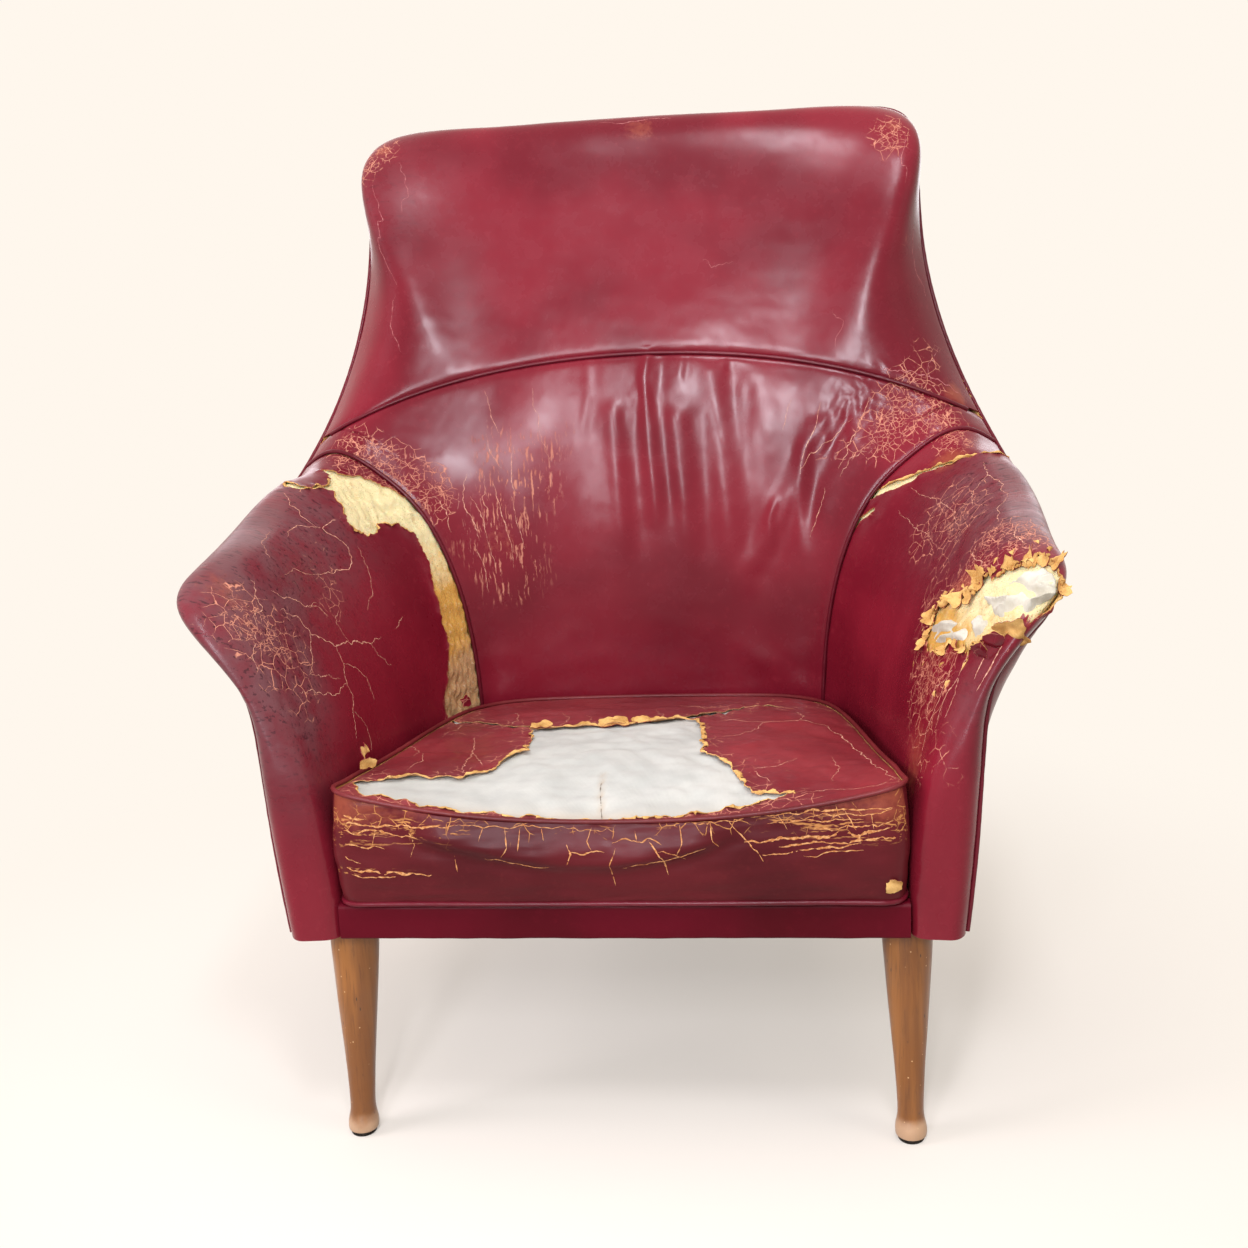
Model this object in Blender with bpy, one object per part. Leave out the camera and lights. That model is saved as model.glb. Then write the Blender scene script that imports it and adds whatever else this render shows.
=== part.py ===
"""Worn high-backed club chair: oxblood leather over a beech frame, four turned legs, one loose cushion.

Drawing frame: X across the chair (left is -X), Y from the front of the base to the back, Z up from the floor.
The empty "chair" carries every piece and moves the drawing's origin to the middle of the chair's depth.
"""
import math

import bmesh
import bpy
import numpy as np

for old in list(bpy.data.objects):
    bpy.data.objects.remove(old, do_unlink=True)

# Driving dimensions, in metres
MID_DEPTH = 0.3079         # from the front of the base to the middle of the chair's depth
GAP = 0.0003               # between two faces that touch
HIDE = 0.0020              # leather
CLOTH = 0.0012             # muslin, canvas and cambric
PIPING = 0.0027            # radius of a leather-covered cord
ARCH_PIPING = 0.0030       # the same over the arch
SEAM_HALF = 0.0036         # from the middle of a piped seam to the leather beside it
EDGE_TRIM = 0.0034         # from the outer edge to the outside panels
BASE_Z = 0.2172            # lower edge of the upholstery
RAIL_Z0, RAIL_Z1 = 0.2187, 0.2435
DECK_Z = 0.2459            # top of the webbing
CUSHION_Z = 0.2536         # underside of the loose cushion
CUSHION_TOP = 0.3560
LEG_TOP = 0.2166
GLIDE = 0.0040
LEG_TOP_FRONT, LEG_FOOT_FRONT = (0.270, 0.049), (0.271, 0.020)
LEG_TOP_REAR, LEG_FOOT_REAR = (0.211, 0.470), (0.236, 0.552)
LEG_PROFILE = ((0.0148, 0.0043), (0.0152, 0.0110), (0.0131, 0.0220), (0.0126, 0.0340), (0.0180, 0.1150),
               (0.0232, 0.1850), (0.0240, 0.2080), (0.0235, LEG_TOP))       # radius and height
GLIDE_R = 0.0128
BOLT_R, BORE_R = 0.0037, 0.0041
BOLT_Z = 0.1805            # where the hanger bolt ends inside the leg
BLOCK_FRONT = ((0.2280, 0.3120), (0.0402, 0.0920))
BLOCK_REAR = ((0.1650, 0.2360), (0.4460, 0.4860))
FRONT_RAIL_HALF = 0.2620
FRONT_RAIL_Y = (0.0040, 0.0399)
RAIL_COVER_HALF = 0.2690
BACK_RAIL_Y = (0.4560, 0.4860)
POST_HALF = 0.0160         # half width of a back post
STRAP_DEPTH = 0.0040       # from the padding to the back's webbing
STRAP = 0.0015
RAIL_DEPTH = 0.0066        # from the padding to the back's rails, clear of the webbing
ROLL_R = 0.0207            # stuffed roll under an arm's top
CUSHION_HALF = 0.265
CUSHION_BACK = 0.455
SEAT_FALL = 0.034          # how much lower the cushion's top lies at the back
BOX_BULGE = 0.0060         # how far the cushion's front boxing swells

# Lines plan of the upholstered surface, in millimetres: the right-hand half, from the front of the arm
# round to the middle of the back. Each station runs from the seat deck over the padding to the outer edge.
STATIONS = (
    ((270, 31, 218), (270, 20, 218), (271, 8, 218), (281, -1, 218),
     (299, -3, 218), (315, 2, 218), (323, 15, 218)),
    ((269, 42, 250), (269, 30, 268), (271, 11, 286), (283, -2, 296),
     (303, -4, 301), (322, 2, 303), (331, 16, 304)),
    ((267, 80, 254), (268, 62, 290), (273, 30, 335), (286, 4, 372),
     (308, -4, 388), (328, 2, 393), (336, 17, 394)),
    ((262, 118, 254), (266, 98, 300), (277, 64, 362), (300, 24, 426),
     (329, 4, 457), (344, 8, 462), (349, 24, 461)),
    ((256, 160, 254), (264, 138, 320), (281, 104, 400), (320, 52, 481),
     (367, 16, 525), (400, 28, 530), (392, 54, 503)),
    ((252, 192, 254), (262, 182, 330), (284, 162, 425), (327, 126, 514),
     (373, 98, 566), (412, 92, 557), (409, 102, 526)),
    ((246, 238, 254), (257, 237, 335), (280, 233, 430), (323, 228, 522),
     (374, 223, 582), (420, 221, 577), (423, 223, 544)),
    ((234, 328, 254), (243, 334, 335), (262, 340, 440), (301, 346, 535),
     (354, 349, 598), (410, 351, 610), (430, 354, 576)),
    ((206, 428, 254), (209, 433, 345), (224, 432, 462), (263, 430, 561),
     (319, 434, 617), (381, 448, 638), (417, 474, 618)),
    ((178, 444, 254), (180, 446, 350), (192, 447, 480), (229, 452, 591),
     (288, 466, 666), (351, 492, 703), (382, 530, 698)),
    ((140, 455, 254), (141, 455, 350), (150, 457, 490), (183, 467, 626),
     (243, 490, 749), (314, 518, 835), (342, 566, 846)),
    ((105, 460, 254), (106, 459, 350), (113, 461, 500), (142, 477, 664),
     (217, 513, 826), (332, 548, 962), (336, 600, 965)),
    ((80, 463, 254), (80, 461, 350), (86, 463, 505), (110, 484, 687),
     (184, 526, 867), (302, 569, 994), (319, 613, 1004)),
    ((40, 465, 254), (40, 462, 350), (43, 464, 508), (56, 489, 710),
     (97, 538, 895), (159, 584, 1012), (168, 624, 1009)),
    ((0, 466, 254), (0, 463, 350), (0, 465, 508), (0, 491, 717),
     (0, 542, 900), (0, 587, 1013), (0, 627, 1012)),
)
SHOULDER = 8               # the station that the arm's piped seam follows
# Middle lines of the timbers and of the stuffed roll, in millimetres, with (width, depth) of the arm's post
SIDE_RAIL = ((288, 93.4), (283, 160), (268, 280), (240, 380), (212, 440.5))
ARM_POST = ((300, 38, 243.8), (300, 38, 270), (303.5, 40, 340), (327.5, 48, 432))
ARM_POST_SIZE = ((31, 44), (31, 44), (28, 40), (20, 30))
ARM_RAIL = ((335, 56, 449), (340, 130, 452), (337, 250, 458), (324, 350, 465), (292, 425, 470), (228, 489, 470))
ARM_ROLL = ((379, 88, 525.2), (384.1, 140, 534.1), (392.2, 220, 545.8), (392.7, 330, 567.5), (384.7, 420, 585.2))
# Foot of the outside arm, from the front corner to the rear one
BASE_LINE = ((323, 15), (326, 100), (318, 250), (300, 380), (272, 470))
BASE_REAR_Y = 0.548        # foot of the outside back, at its middle
REAR_CORNER_Y = 0.470      # where the outside arm meets the outside back
# Loose cushion's plan, from the middle of its front round to the middle of its back
CUSHION_PLAN = ((0, -6), (130, -6), (235, -6), (256, -3), (264, 7), (265, 30), (262, 75), (258, 105),
                (250, 160), (240, 238), (226, 328), (203, 397), (168, 432), (100, 449), (0, 455))
# Torn opening in the seat's leather: plan outline
SEAT_TEAR = ((-252, 8), (-205, 4), (-120, 12), (-20, 6), (70, 10), (112, 40), (128, 95), (96, 150), (92, 268),
             (78, 282), (10, 262), (-42, 268), (-52, 190), (-104, 132), (-188, 118), (-246, 46))
# Torn opening in the right arm's nose: X and Z outline, cut from the front
NOSE_TEAR = ((303, 462), (312, 490), (342, 532), (366, 556), (396, 572), (424, 566), (424, 536), (382, 530),
             (371, 519), (374, 498), (350, 492), (336, 494), (322, 472))


# ---------------------------------------------------------------- smooth curves and the shell surface
def spline_weights(knots, at):
    """Rows of weights that read a natural cubic spline through the knots at the places given."""
    count = len(knots)
    step = np.diff(knots)
    left, right = np.eye(count), np.zeros((count, count))
    for i in range(1, count - 1):
        left[i, i - 1:i + 2] = step[i - 1], 2 * (step[i - 1] + step[i]), step[i]
        right[i, i - 1:i + 2] = 6 / step[i - 1], -6 / step[i - 1] - 6 / step[i], 6 / step[i]
    bend = np.linalg.solve(left, right)
    at = np.asarray(at, float)
    k = np.clip(np.searchsorted(knots, at, side="right") - 1, 0, count - 2)
    a = (knots[k + 1] - at) / step[k]
    b = 1 - a
    weights = ((a ** 3 - a) * step[k] ** 2 / 6)[:, None] * bend[k]
    weights += ((b ** 3 - b) * step[k] ** 2 / 6)[:, None] * bend[k + 1]
    weights[np.arange(len(at)), k] += a
    weights[np.arange(len(at)), k + 1] += b
    return weights


def run_length(points):
    """Distance along a row of points, from 0."""
    return np.concatenate([[0.0], np.cumsum(np.linalg.norm(np.diff(points, axis=0), axis=1))])


def smooth_curve(points, count):
    """Count points, evenly spaced, on the smooth curve through the points given."""
    points = np.asarray(points, float)
    knots = run_length(points)
    fine = spline_weights(knots, np.linspace(0, knots[-1], 12 * count)) @ points
    length = run_length(fine)
    even = np.linspace(0, length[-1], count)
    return np.stack([np.interp(even, length, fine[:, axis]) for axis in range(points.shape[1])], axis=1)


HALF = np.array(STATIONS, float) / 1000
NET = np.concatenate([HALF, HALF[-2::-1] * np.array([-1, 1, 1])])
U = np.concatenate([[0], np.cumsum(np.linalg.norm(np.diff(NET, axis=0), axis=2).mean(1))])
V = np.concatenate([[0], np.cumsum(np.linalg.norm(np.diff(NET, axis=1), axis=2).mean(0))])
U_ARM, U_END, V_END = U[SHOULDER], U[-1], V[-1]


def on_shell(u, v):
    """Points of the upholstered surface; u runs from one arm's foot to the other's, v from deck to edge."""
    u, v = np.broadcast_arrays(np.asarray(u, float), np.asarray(v, float))
    rows, columns = spline_weights(U, u.ravel()), spline_weights(V, v.ravel())
    return np.einsum("pi,pj,ijk->pk", rows, columns, NET, optimize=True).reshape(u.shape + (3,))


def under_shell(u, v, depth, step=1e-4):
    """Points at a depth inside the padding, measured square to the surface."""
    along = on_shell(u + step, v) - on_shell(u - step, v)
    up = on_shell(u, v + step) - on_shell(u, v - step)
    normal = np.cross(up, along)
    normal /= np.linalg.norm(normal, axis=-1)[..., None]
    return on_shell(u, v) - normal * np.asarray(depth)[..., None]


def arch_v(u):
    """Where the piped arch between lower back and head crosses each line of the shell."""
    low, high = np.zeros_like(u), np.full_like(u, V_END)
    for _ in range(40):
        middle = (low + high) / 2
        point = on_shell(u, middle)
        above = point[..., 2] > 0.737 - 0.43 * point[..., 0] ** 2 - 0.75 * point[..., 0] ** 4
        high, low = np.where(above, middle, high), np.where(above, low, middle)
    return high


def stretch(u, v, step=1e-3):
    """Real length to one of u and to one of v, as two factors."""
    du = np.linalg.norm(on_shell(u + step, v) - on_shell(u - step, v), axis=-1) / (2 * step)
    dv = np.linalg.norm(on_shell(u, v + step) - on_shell(u, v - step), axis=-1) / (2 * step)
    return du, dv


def find_uv(x, z):
    """The shell's u and v in front of a place on the back, from its X and Z."""
    x, z = np.broadcast_arrays(np.asarray(x, float), np.asarray(z, float))
    us, vs = np.meshgrid(np.linspace(U_ARM, U_END - U_ARM, 61), np.linspace(0, V_END, 41), indexing="ij")
    cloud = on_shell(us, vs)
    far = (cloud[..., 0].ravel() - x.ravel()[:, None]) ** 2 + (cloud[..., 2].ravel() - z.ravel()[:, None]) ** 2
    pick = far.argmin(1)
    u, v = us.ravel()[pick].reshape(x.shape), vs.ravel()[pick].reshape(x.shape)
    for _ in range(12):
        here, e = on_shell(u, v), 1e-4
        du, dv = (on_shell(u + e, v) - here) / e, (on_shell(u, v + e) - here) / e
        a, b, c, d = du[..., 0], dv[..., 0], du[..., 2], dv[..., 2]
        rx, rz = x - here[..., 0], z - here[..., 2]
        det = a * d - b * c
        u, v = u + (d * rx - b * rz) / det, v + (a * rz - c * rx) / det
    return u, v


def pad_depth(u, v):
    """Depth of the padding's back: thin where the arm is narrow and towards the outer edge."""
    side = np.minimum(u, U_END - u)
    places = [0, U[3], U[4], U[5], U[6], U_ARM, U[11]]
    thick = np.interp(side, places, [0.010, 0.010, 0.011, 0.013, 0.020, 0.026, 0.030])
    share = np.interp(v, [0, V[1], V[3], V[4], V[5], V_END], [0.6, 1.0, 1.0, 0.45, 0.20, 0.10])
    rolled = np.interp(side, [U[2], U[3], U[5], U[6]], [0, 1, 1, 0]) * np.interp(v, [V[3], V[4]], [0, 1])
    return HIDE + 2 * GAP + np.maximum(thick * share, 0.0028) * (1 - rolled) + 0.0022 * rolled


# ---------------------------------------------------------------- meshes
MATERIALS = {}
ORIGIN = bpy.data.objects.new("chair", None)
ORIGIN.location = (0, -MID_DEPTH, 0)
bpy.context.scene.collection.objects.link(ORIGIN)


def material(name, hexcode, roughness, metallic=0.0):
    """A plain finish: colour from an sRGB hex value, roughness and metallic value."""
    if name not in MATERIALS:
        made = bpy.data.materials.new(name)
        made.use_nodes = True
        shader = made.node_tree.nodes["Principled BSDF"]
        channels = [int(hexcode[i:i + 2], 16) / 255 for i in (1, 3, 5)]
        linear = [c / 12.92 if c <= 0.04045 else ((c + 0.055) / 1.055) ** 2.4 for c in channels]
        shader.inputs["Base Color"].default_value = (*linear, 1)
        shader.inputs["Roughness"].default_value = roughness
        shader.inputs["Metallic"].default_value = metallic
        MATERIALS[name] = made
    return MATERIALS[name]


def piece(name, verts, faces, finish, sharp=40):
    """One closed body as one named object, faces outwards, riding on the chair's empty."""
    mesh = bpy.data.meshes.new(name)
    mesh.from_pydata([tuple(map(float, p)) for p in verts], [], [tuple(map(int, f)) for f in faces])
    work = bmesh.new()
    work.from_mesh(mesh)
    bmesh.ops.recalc_face_normals(work, faces=work.faces)
    work.to_mesh(mesh)
    work.free()
    mesh.shade_smooth()
    mesh.set_sharp_from_angle(angle=math.radians(sharp))
    mesh.materials.append(finish)
    made = bpy.data.objects.new(name, mesh)
    bpy.context.scene.collection.objects.link(made)
    made.parent = ORIGIN
    return made


def cells(front, back, keep=None):
    """A closed sheet between two matching grids of points; keep says which cells are there."""
    rows, columns = front.shape[0] - 1, front.shape[1] - 1
    keep = np.ones((rows, columns), bool) if keep is None else keep
    index, verts, faces = {}, [], []

    def at(side, i, j):
        if (side, i, j) not in index:
            index[side, i, j] = len(verts)
            verts.append((front, back)[side][i, j])
        return index[side, i, j]

    def solid(i, j):
        return 0 <= i < rows and 0 <= j < columns and keep[i, j]

    for i, j in zip(*np.nonzero(keep)):
        ring = [(i, j), (i + 1, j), (i + 1, j + 1), (i, j + 1)]
        for corner in ((0, 1, 2), (0, 2, 3)):
            faces.append([at(0, *ring[k]) for k in corner])
            faces.append([at(1, *ring[k]) for k in reversed(corner)])
        for k, (di, dj) in enumerate(((0, -1), (1, 0), (0, 1), (-1, 0))):
            if not solid(i + di, j + dj):
                a, b = ring[k], ring[(k + 1) % 4]
                faces.append([at(0, *b), at(0, *a), at(1, *a), at(1, *b)])
    return verts, faces


def rings(loops, closed_ends=True):
    """A skin over a stack of closed loops with the same number of points; a loop of one point is a pole.

    The diagonals start from the wider loop, so that a skin and the filling under it bend alike.
    """
    verts, faces, starts = [], [], []
    for loop in loops:
        starts.append((len(verts), len(loop)))
        verts.extend(loop)
    size = [np.ptp(np.asarray(loop, float), axis=0).sum() for loop in loops]
    for step, ((a, n), (b, m)) in enumerate(zip(starts, starts[1:])):
        for k in range(max(n, m)):
            q = (k + 1) % max(n, m)
            if n == 1:
                faces.append((a, b + k, b + q))
            elif m == 1:
                faces.append((a + k, b, a + q))
            elif size[step] >= size[step + 1]:
                faces.extend([(a + k, b + k, b + q), (a + k, b + q, a + q)])
            else:
                faces.extend([(b + k, a + q, a + k), (b + k, b + q, a + q)])
    if closed_ends:
        for start, count in (starts[0], starts[-1]):
            if count > 1:
                faces.append(tuple(range(start, start + count)))
    return verts, faces


def tube(path, radius, sides=6, loop=False):
    """A round cord along a path, its section carried along without twist."""
    path = np.asarray(path, float)
    if loop:
        tangent = np.roll(path, -1, 0) - np.roll(path, 1, 0)
    else:
        tangent = np.gradient(path, axis=0)
    tangent /= np.linalg.norm(tangent, axis=1)[:, None]
    side = np.cross(tangent[0], (0.13, 0.21, 0.97))
    sections = []
    for point, ahead in zip(path, tangent):
        side = side - ahead * (side @ ahead)
        side /= np.linalg.norm(side)
        other = np.cross(ahead, side)
        turn = np.arange(sides) * 2 * math.pi / sides
        sections.append([point + radius * (math.cos(t) * side + math.sin(t) * other) for t in turn])
    if not loop:
        return rings(sections)
    verts = [p for section in sections for p in section]
    count, faces = len(sections), []
    first, last = np.array(sections[0]), np.array(sections[-1])
    shift = int(np.argmin([np.linalg.norm(np.roll(first, -k, 0) - last) for k in range(sides)]))
    for i in range(count):
        for k in range(sides):
            turn = shift if i == count - 1 else 0
            a, b = i * sides + k, i * sides + (k + 1) % sides
            c = (i + 1) % count * sides + (k + 1 + turn) % sides
            d = (i + 1) % count * sides + (k + turn) % sides
            faces.append((a, b, c, d))
    return verts, faces


def beam(path, sizes, across=(1, 0, 0)):
    """A squared timber along a path: sizes are its width along "across" and its other side, at each point."""
    path = np.asarray(path, float)
    tangent = np.gradient(path, axis=0)
    tangent /= np.linalg.norm(tangent, axis=1)[:, None]
    loops = []
    for point, ahead, (width, height) in zip(path, tangent, sizes):
        wide = np.array(across, float)
        wide -= ahead * (wide @ ahead)
        wide /= np.linalg.norm(wide)
        tall = np.cross(ahead, wide)
        corners = ((-1, -1), (1, -1), (1, 1), (-1, 1))
        loops.append([point + a * width / 2 * wide + b * height / 2 * tall for a, b in corners])
    return rings(loops)


def box(x0, x1, y0, y1, z0, z1):
    """A squared block."""
    return rings([[(x0, y0, z), (x1, y0, z), (x1, y1, z), (x0, y1, z)] for z in (z0, z1)])


def turned(profile, axis_low, axis_high, segments=16):
    """A turned piece: profile is (radius, height) up its axis, which leans from the low to the high point."""
    lean = (np.array(axis_high[:2], float) - np.array(axis_low[:2])) / (axis_high[2] - axis_low[2])
    loops = []
    for radius, z in profile:
        middle = np.array(axis_low[:2]) + lean * (z - axis_low[2])
        if radius == 0:
            loops.append([(*middle, z)])
            continue
        turn = np.arange(segments) * 2 * math.pi / segments
        loops.append([(middle[0] + radius * math.cos(t), middle[1] + radius * math.sin(t), z) for t in turn])
    return rings(loops)


def slab(outline, z0, z1):
    """A flat sheet of any plan, given as (x, y) points."""
    return rings([[(x, y, z) for x, y in outline] for z in (z0, z1)])


def cut_with(target, cutter):
    """Takes a guide body out of a piece."""
    cutter.hide_render = True
    cutter.display_type = "WIRE"
    modifier = target.modifiers.new("opening", "BOOLEAN")
    modifier.operation = "DIFFERENCE"
    modifier.solver = "EXACT"
    modifier.object = cutter


def mirrored(verts):
    """The same points on the other side of the chair."""
    return [(-p[0], p[1], p[2]) for p in np.asarray(verts)]


def pair(name, body, finish, **extra):
    """A left and a right piece, alike in mirror image; body is drawn for the right."""
    verts, faces = body
    return {"right": piece(name + "_right", verts, faces, finish, **extra),
            "left": piece(name + "_left", mirrored(verts), faces, finish, **extra)}


# ---------------------------------------------------------------- outside surfaces
def edge(u):
    """The shell's outer edge."""
    return on_shell(u, np.full_like(np.asarray(u, float), V_END))


BASE = smooth_curve(np.array(BASE_LINE) / 1000, 60)
ARM_EDGE = edge(np.linspace(U[2], U_ARM, 90))
BACK_EDGE = edge(np.linspace(U_ARM, U[14], 120))


def outside_arm_x(y, z):
    """How far out the outside arm lies: upright below, sweeping out under the rolled top."""
    foot = np.interp(y, BASE[:, 1], BASE[:, 0])
    top_x = np.interp(y, ARM_EDGE[:, 1], ARM_EDGE[:, 0])
    top_z = np.interp(y, ARM_EDGE[:, 1], ARM_EDGE[:, 2])
    share = np.clip((z - BASE_Z) / (top_z - BASE_Z), 0, 1)
    return foot + (top_x - foot) * share ** 3.0


def back_side(z):
    """Half width and depth of the outside back's side edge at a height."""
    seam = outside_arm_x(np.full_like(z, REAR_CORNER_Y), np.minimum(z, ARM_EDGE[-1, 2]))
    x = np.where(z < ARM_EDGE[-1, 2], seam, np.interp(z, BACK_EDGE[:, 2], BACK_EDGE[:, 0]))
    y = np.where(z < ARM_EDGE[-1, 2], REAR_CORNER_Y, np.interp(z, BACK_EDGE[:, 2], BACK_EDGE[:, 1]))
    return x, y


def outside_back_y(x, z):
    """How far back the outside back lies: a shallow arc across at every height."""
    half, side = back_side(z)
    rise = np.clip((z - BASE_Z) / (BACK_EDGE[-1, 2] - BASE_Z), 0, 1)
    middle = BASE_REAR_Y + (BACK_EDGE[-1, 1] - BASE_REAR_Y) * rise
    return middle + (side - middle) * np.clip(np.abs(x) / half, 0, 1) ** 2.4


def inner_skin(grid, thickness, inward):
    """The grid moved by a thickness, square to its own surface, towards the side given."""
    normal = np.cross(np.gradient(grid, axis=0), np.gradient(grid, axis=1))
    normal /= np.linalg.norm(normal, axis=-1)[..., None]
    normal *= np.sign((normal * np.array(inward)).sum(-1))[..., None]
    return grid + normal * thickness


# ---------------------------------------------------------------- upholstery
# Lines of the CAD grid over one half: along the arm's edge, then along the back's edge
ARM_LINES = np.array([0, 0.050, 0.100, 0.150, 0.180, 0.205, 0.230, 0.254, 0.278, 0.305,
                      0.350, 0.410, 0.480, 0.545])
BACK_LINES = np.array([0.645, 0.660, 0.678, 0.700, 0.745, 0.790, 0.830, 0.858, 0.882, 0.906, 0.940, 0.985])
ROWS = np.array([0, 0.075, 0.140, 0.200, 0.260, 0.310, 0.350, 0.385, 0.410, 0.432, 0.452, 0.472])
HEAD_START = 0.010         # room in v between arch and edge where the head's leather begins
BACK_ROWS = np.array([0, 0.075, 0.140, 0.200, 0.260, 0.310, 0.350, 0.410, V_END])
# The seam beside the left arm has burst: the leather has drawn back from it, most near the top.
BURST_V = (0, 0.070, 0.103, 0.145, 0.190, 0.287, 0.315, 0.340, 0.400, 0.440, 0.460)
BURST_WIDTH = (0.060, 0.083, 0.065, 0.051, 0.040, 0.031, 0.050, 0.110, 0.068, 0.029, 0.004)


def seam_step(u, line):
    """How far in v the leather stays from a seam that runs along a line of u and v."""
    du, dv = stretch(u, np.minimum(line, V_END - 0.002))
    slope = np.gradient(line, u) * dv / du if np.ptp(u) > 0 else 0
    return SEAM_HALF * np.sqrt(1 + slope ** 2) / dv


def arm_grid(burst=False):
    """u and v over one arm; a burst seam adds the line that its leather has drawn back to."""
    rows = np.append(ROWS, V_END)
    seam = U_ARM - SEAM_HALF / stretch(np.full_like(rows, U_ARM), np.minimum(rows, V_END - 0.002))[0]
    lines = [np.full_like(rows, line) for line in ARM_LINES]
    if burst:
        torn = seam - np.interp(rows, BURST_V, BURST_WIDTH)
        lines = [line * np.minimum(1, torn / 0.590) for line in lines] + [torn]
    else:
        lines.append(np.full_like(rows, 0.590))
    u = np.array(lines + [seam])
    v = np.repeat(rows[None, :], len(u), 0)
    v[:, -1] -= 1.2 * seam_step(u[:, -1], v[:, -1])
    return u, v


def back_lines():
    """The grid's lines over the whole back, between the arm seams."""
    first = U_ARM + SEAM_HALF / stretch(np.array([U_ARM]), np.array([0.2]))[0][0]
    half = np.concatenate([[first], BACK_LINES, [U_END / 2]])
    return np.concatenate([half, U_END - half[-2::-1]])


def back_grid(upper):
    """u and v over the lower back, or over the head above the arch."""
    lines = back_lines()
    if upper:
        lines = lines[V_END - arch_v(lines) > HEAD_START]
    seam = arch_v(lines)
    if upper:
        edge_v = np.full_like(lines, V_END)
        low, high, t = seam + seam_step(lines, seam), edge_v - seam_step(lines, edge_v), np.linspace(0, 1, 7)
    else:
        low, high, t = np.zeros_like(seam), seam - seam_step(lines, seam), BACK_ROWS / V_END
    return np.repeat(lines[:, None], len(t), 1), low[:, None] + (high - low)[:, None] * t


def cover(name, grid, leather):
    """The leather over one part of the shell."""
    u, v = grid
    return piece(name, *cells(on_shell(u, v), under_shell(u, v, np.full_like(u, HIDE))), leather)


def padding(name, grid, filling):
    """The padding under one part of the shell."""
    u, v = grid
    near = np.full_like(u, HIDE + GAP)
    return piece(name, *cells(under_shell(u, v, near), under_shell(u, v, pad_depth(u, v))), filling)


def flip(grid, keep=None):
    """The same lines on the left-hand side; keep leaves out the lines past a number."""
    return U_END - grid[0][:keep], grid[1][:keep]


def shell_covers(leather, filling):
    """Leather and padding of the arms, the lower back and the head."""
    torn = arm_grid(burst=True)
    cover("arm_left_cover", flip(torn, -1), leather)
    padding("arm_left_pad", flip(torn), filling)
    cover("arm_right_cover", arm_grid(), leather)
    padding("arm_right_pad", arm_grid(), filling)
    for name, upper in (("back", False), ("head", True)):
        cover(name + "_cover", back_grid(upper), leather)
        padding(name + "_pad", back_grid(upper), filling)
    outline = [(x / 1000, z / 1000) for x, z in NOSE_TEAR]
    guide = rings([[(x, y, z) for x, z in outline] for y in (-0.05, 0.10)])
    cut_with(bpy.data.objects["arm_right_cover"], piece("nose_tear_guide", *guide, leather))


def shell_piping(cord):
    """Cords sewn into the seams: round the outer edge, over the arch, and beside each arm."""
    half = np.concatenate([[0.004], ARM_LINES[1:], [0.590, U_ARM], BACK_LINES, [U_END / 2]])
    lines = np.concatenate([half, U_END - half[-2::-1]])
    piece("edge_piping", *tube(edge(lines), PIPING), cord)
    u = back_lines()
    u = u[V_END - arch_v(u) > HEAD_START][1:-1]
    piece("arch_piping", *tube(under_shell(u, arch_v(u), np.full_like(u, 0.001)), ARCH_PIPING), cord)
    v = np.append(ROWS, V_END - 0.0085) + 0.0005
    right = under_shell(np.full_like(v, U_ARM), v, np.full_like(v, 0.001))
    pair("arm_piping", tube(right, PIPING), cord)


def trimmed_edge(lines, axes, trim):
    """The outer edge seen flat along two axes, drawn to the right of its run by a trim."""
    fine = np.linspace(lines[0], lines[-1], 600)
    flat = edge(fine)[:, axes]
    ahead = np.gradient(flat, axis=0)
    ahead /= np.linalg.norm(ahead, axis=1)[:, None]
    inward = np.stack([ahead[:, 1], -ahead[:, 0]], axis=1)
    drawn = flat + inward * trim
    return np.stack([np.interp(lines, fine, drawn[:, k]) for k in (0, 1)], axis=1)


def outside_arms(leather):
    """Tight leather down the outside of both arms."""
    lines = np.concatenate([ARM_LINES, [0.590, U_ARM]])
    trim = trimmed_edge(lines, [1, 2], EDGE_TRIM)
    turn = 4
    rear = REAR_CORNER_Y - HIDE - 2 * GAP
    trim[-1] = rear, np.interp(rear, trim[:, 0], trim[:, 1])
    front, top = trim[:turn + 1], trim[turn:]
    share = (front[:, 1] - BASE_Z) / (front[-1, 1] - BASE_Z)
    share = np.sort(np.append(share, [0.90, 0.96]))
    share[0] = 0
    z = BASE_Z + (top[:, 1] - BASE_Z)[:, None] * share
    across = ((top[:, 0] - top[0, 0]) / (rear - top[0, 0]))[:, None]
    front_y = np.interp(BASE_Z + (front[-1, 1] - BASE_Z) * share, front[:, 1], front[:, 0])
    y = front_y * (1 - across) + rear * across
    grid = np.stack([outside_arm_x(y, z), y, z], axis=-1)
    pair("outside_arm", cells(grid, inner_skin(grid, HIDE, (-1, 0, 0))), leather)


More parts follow.
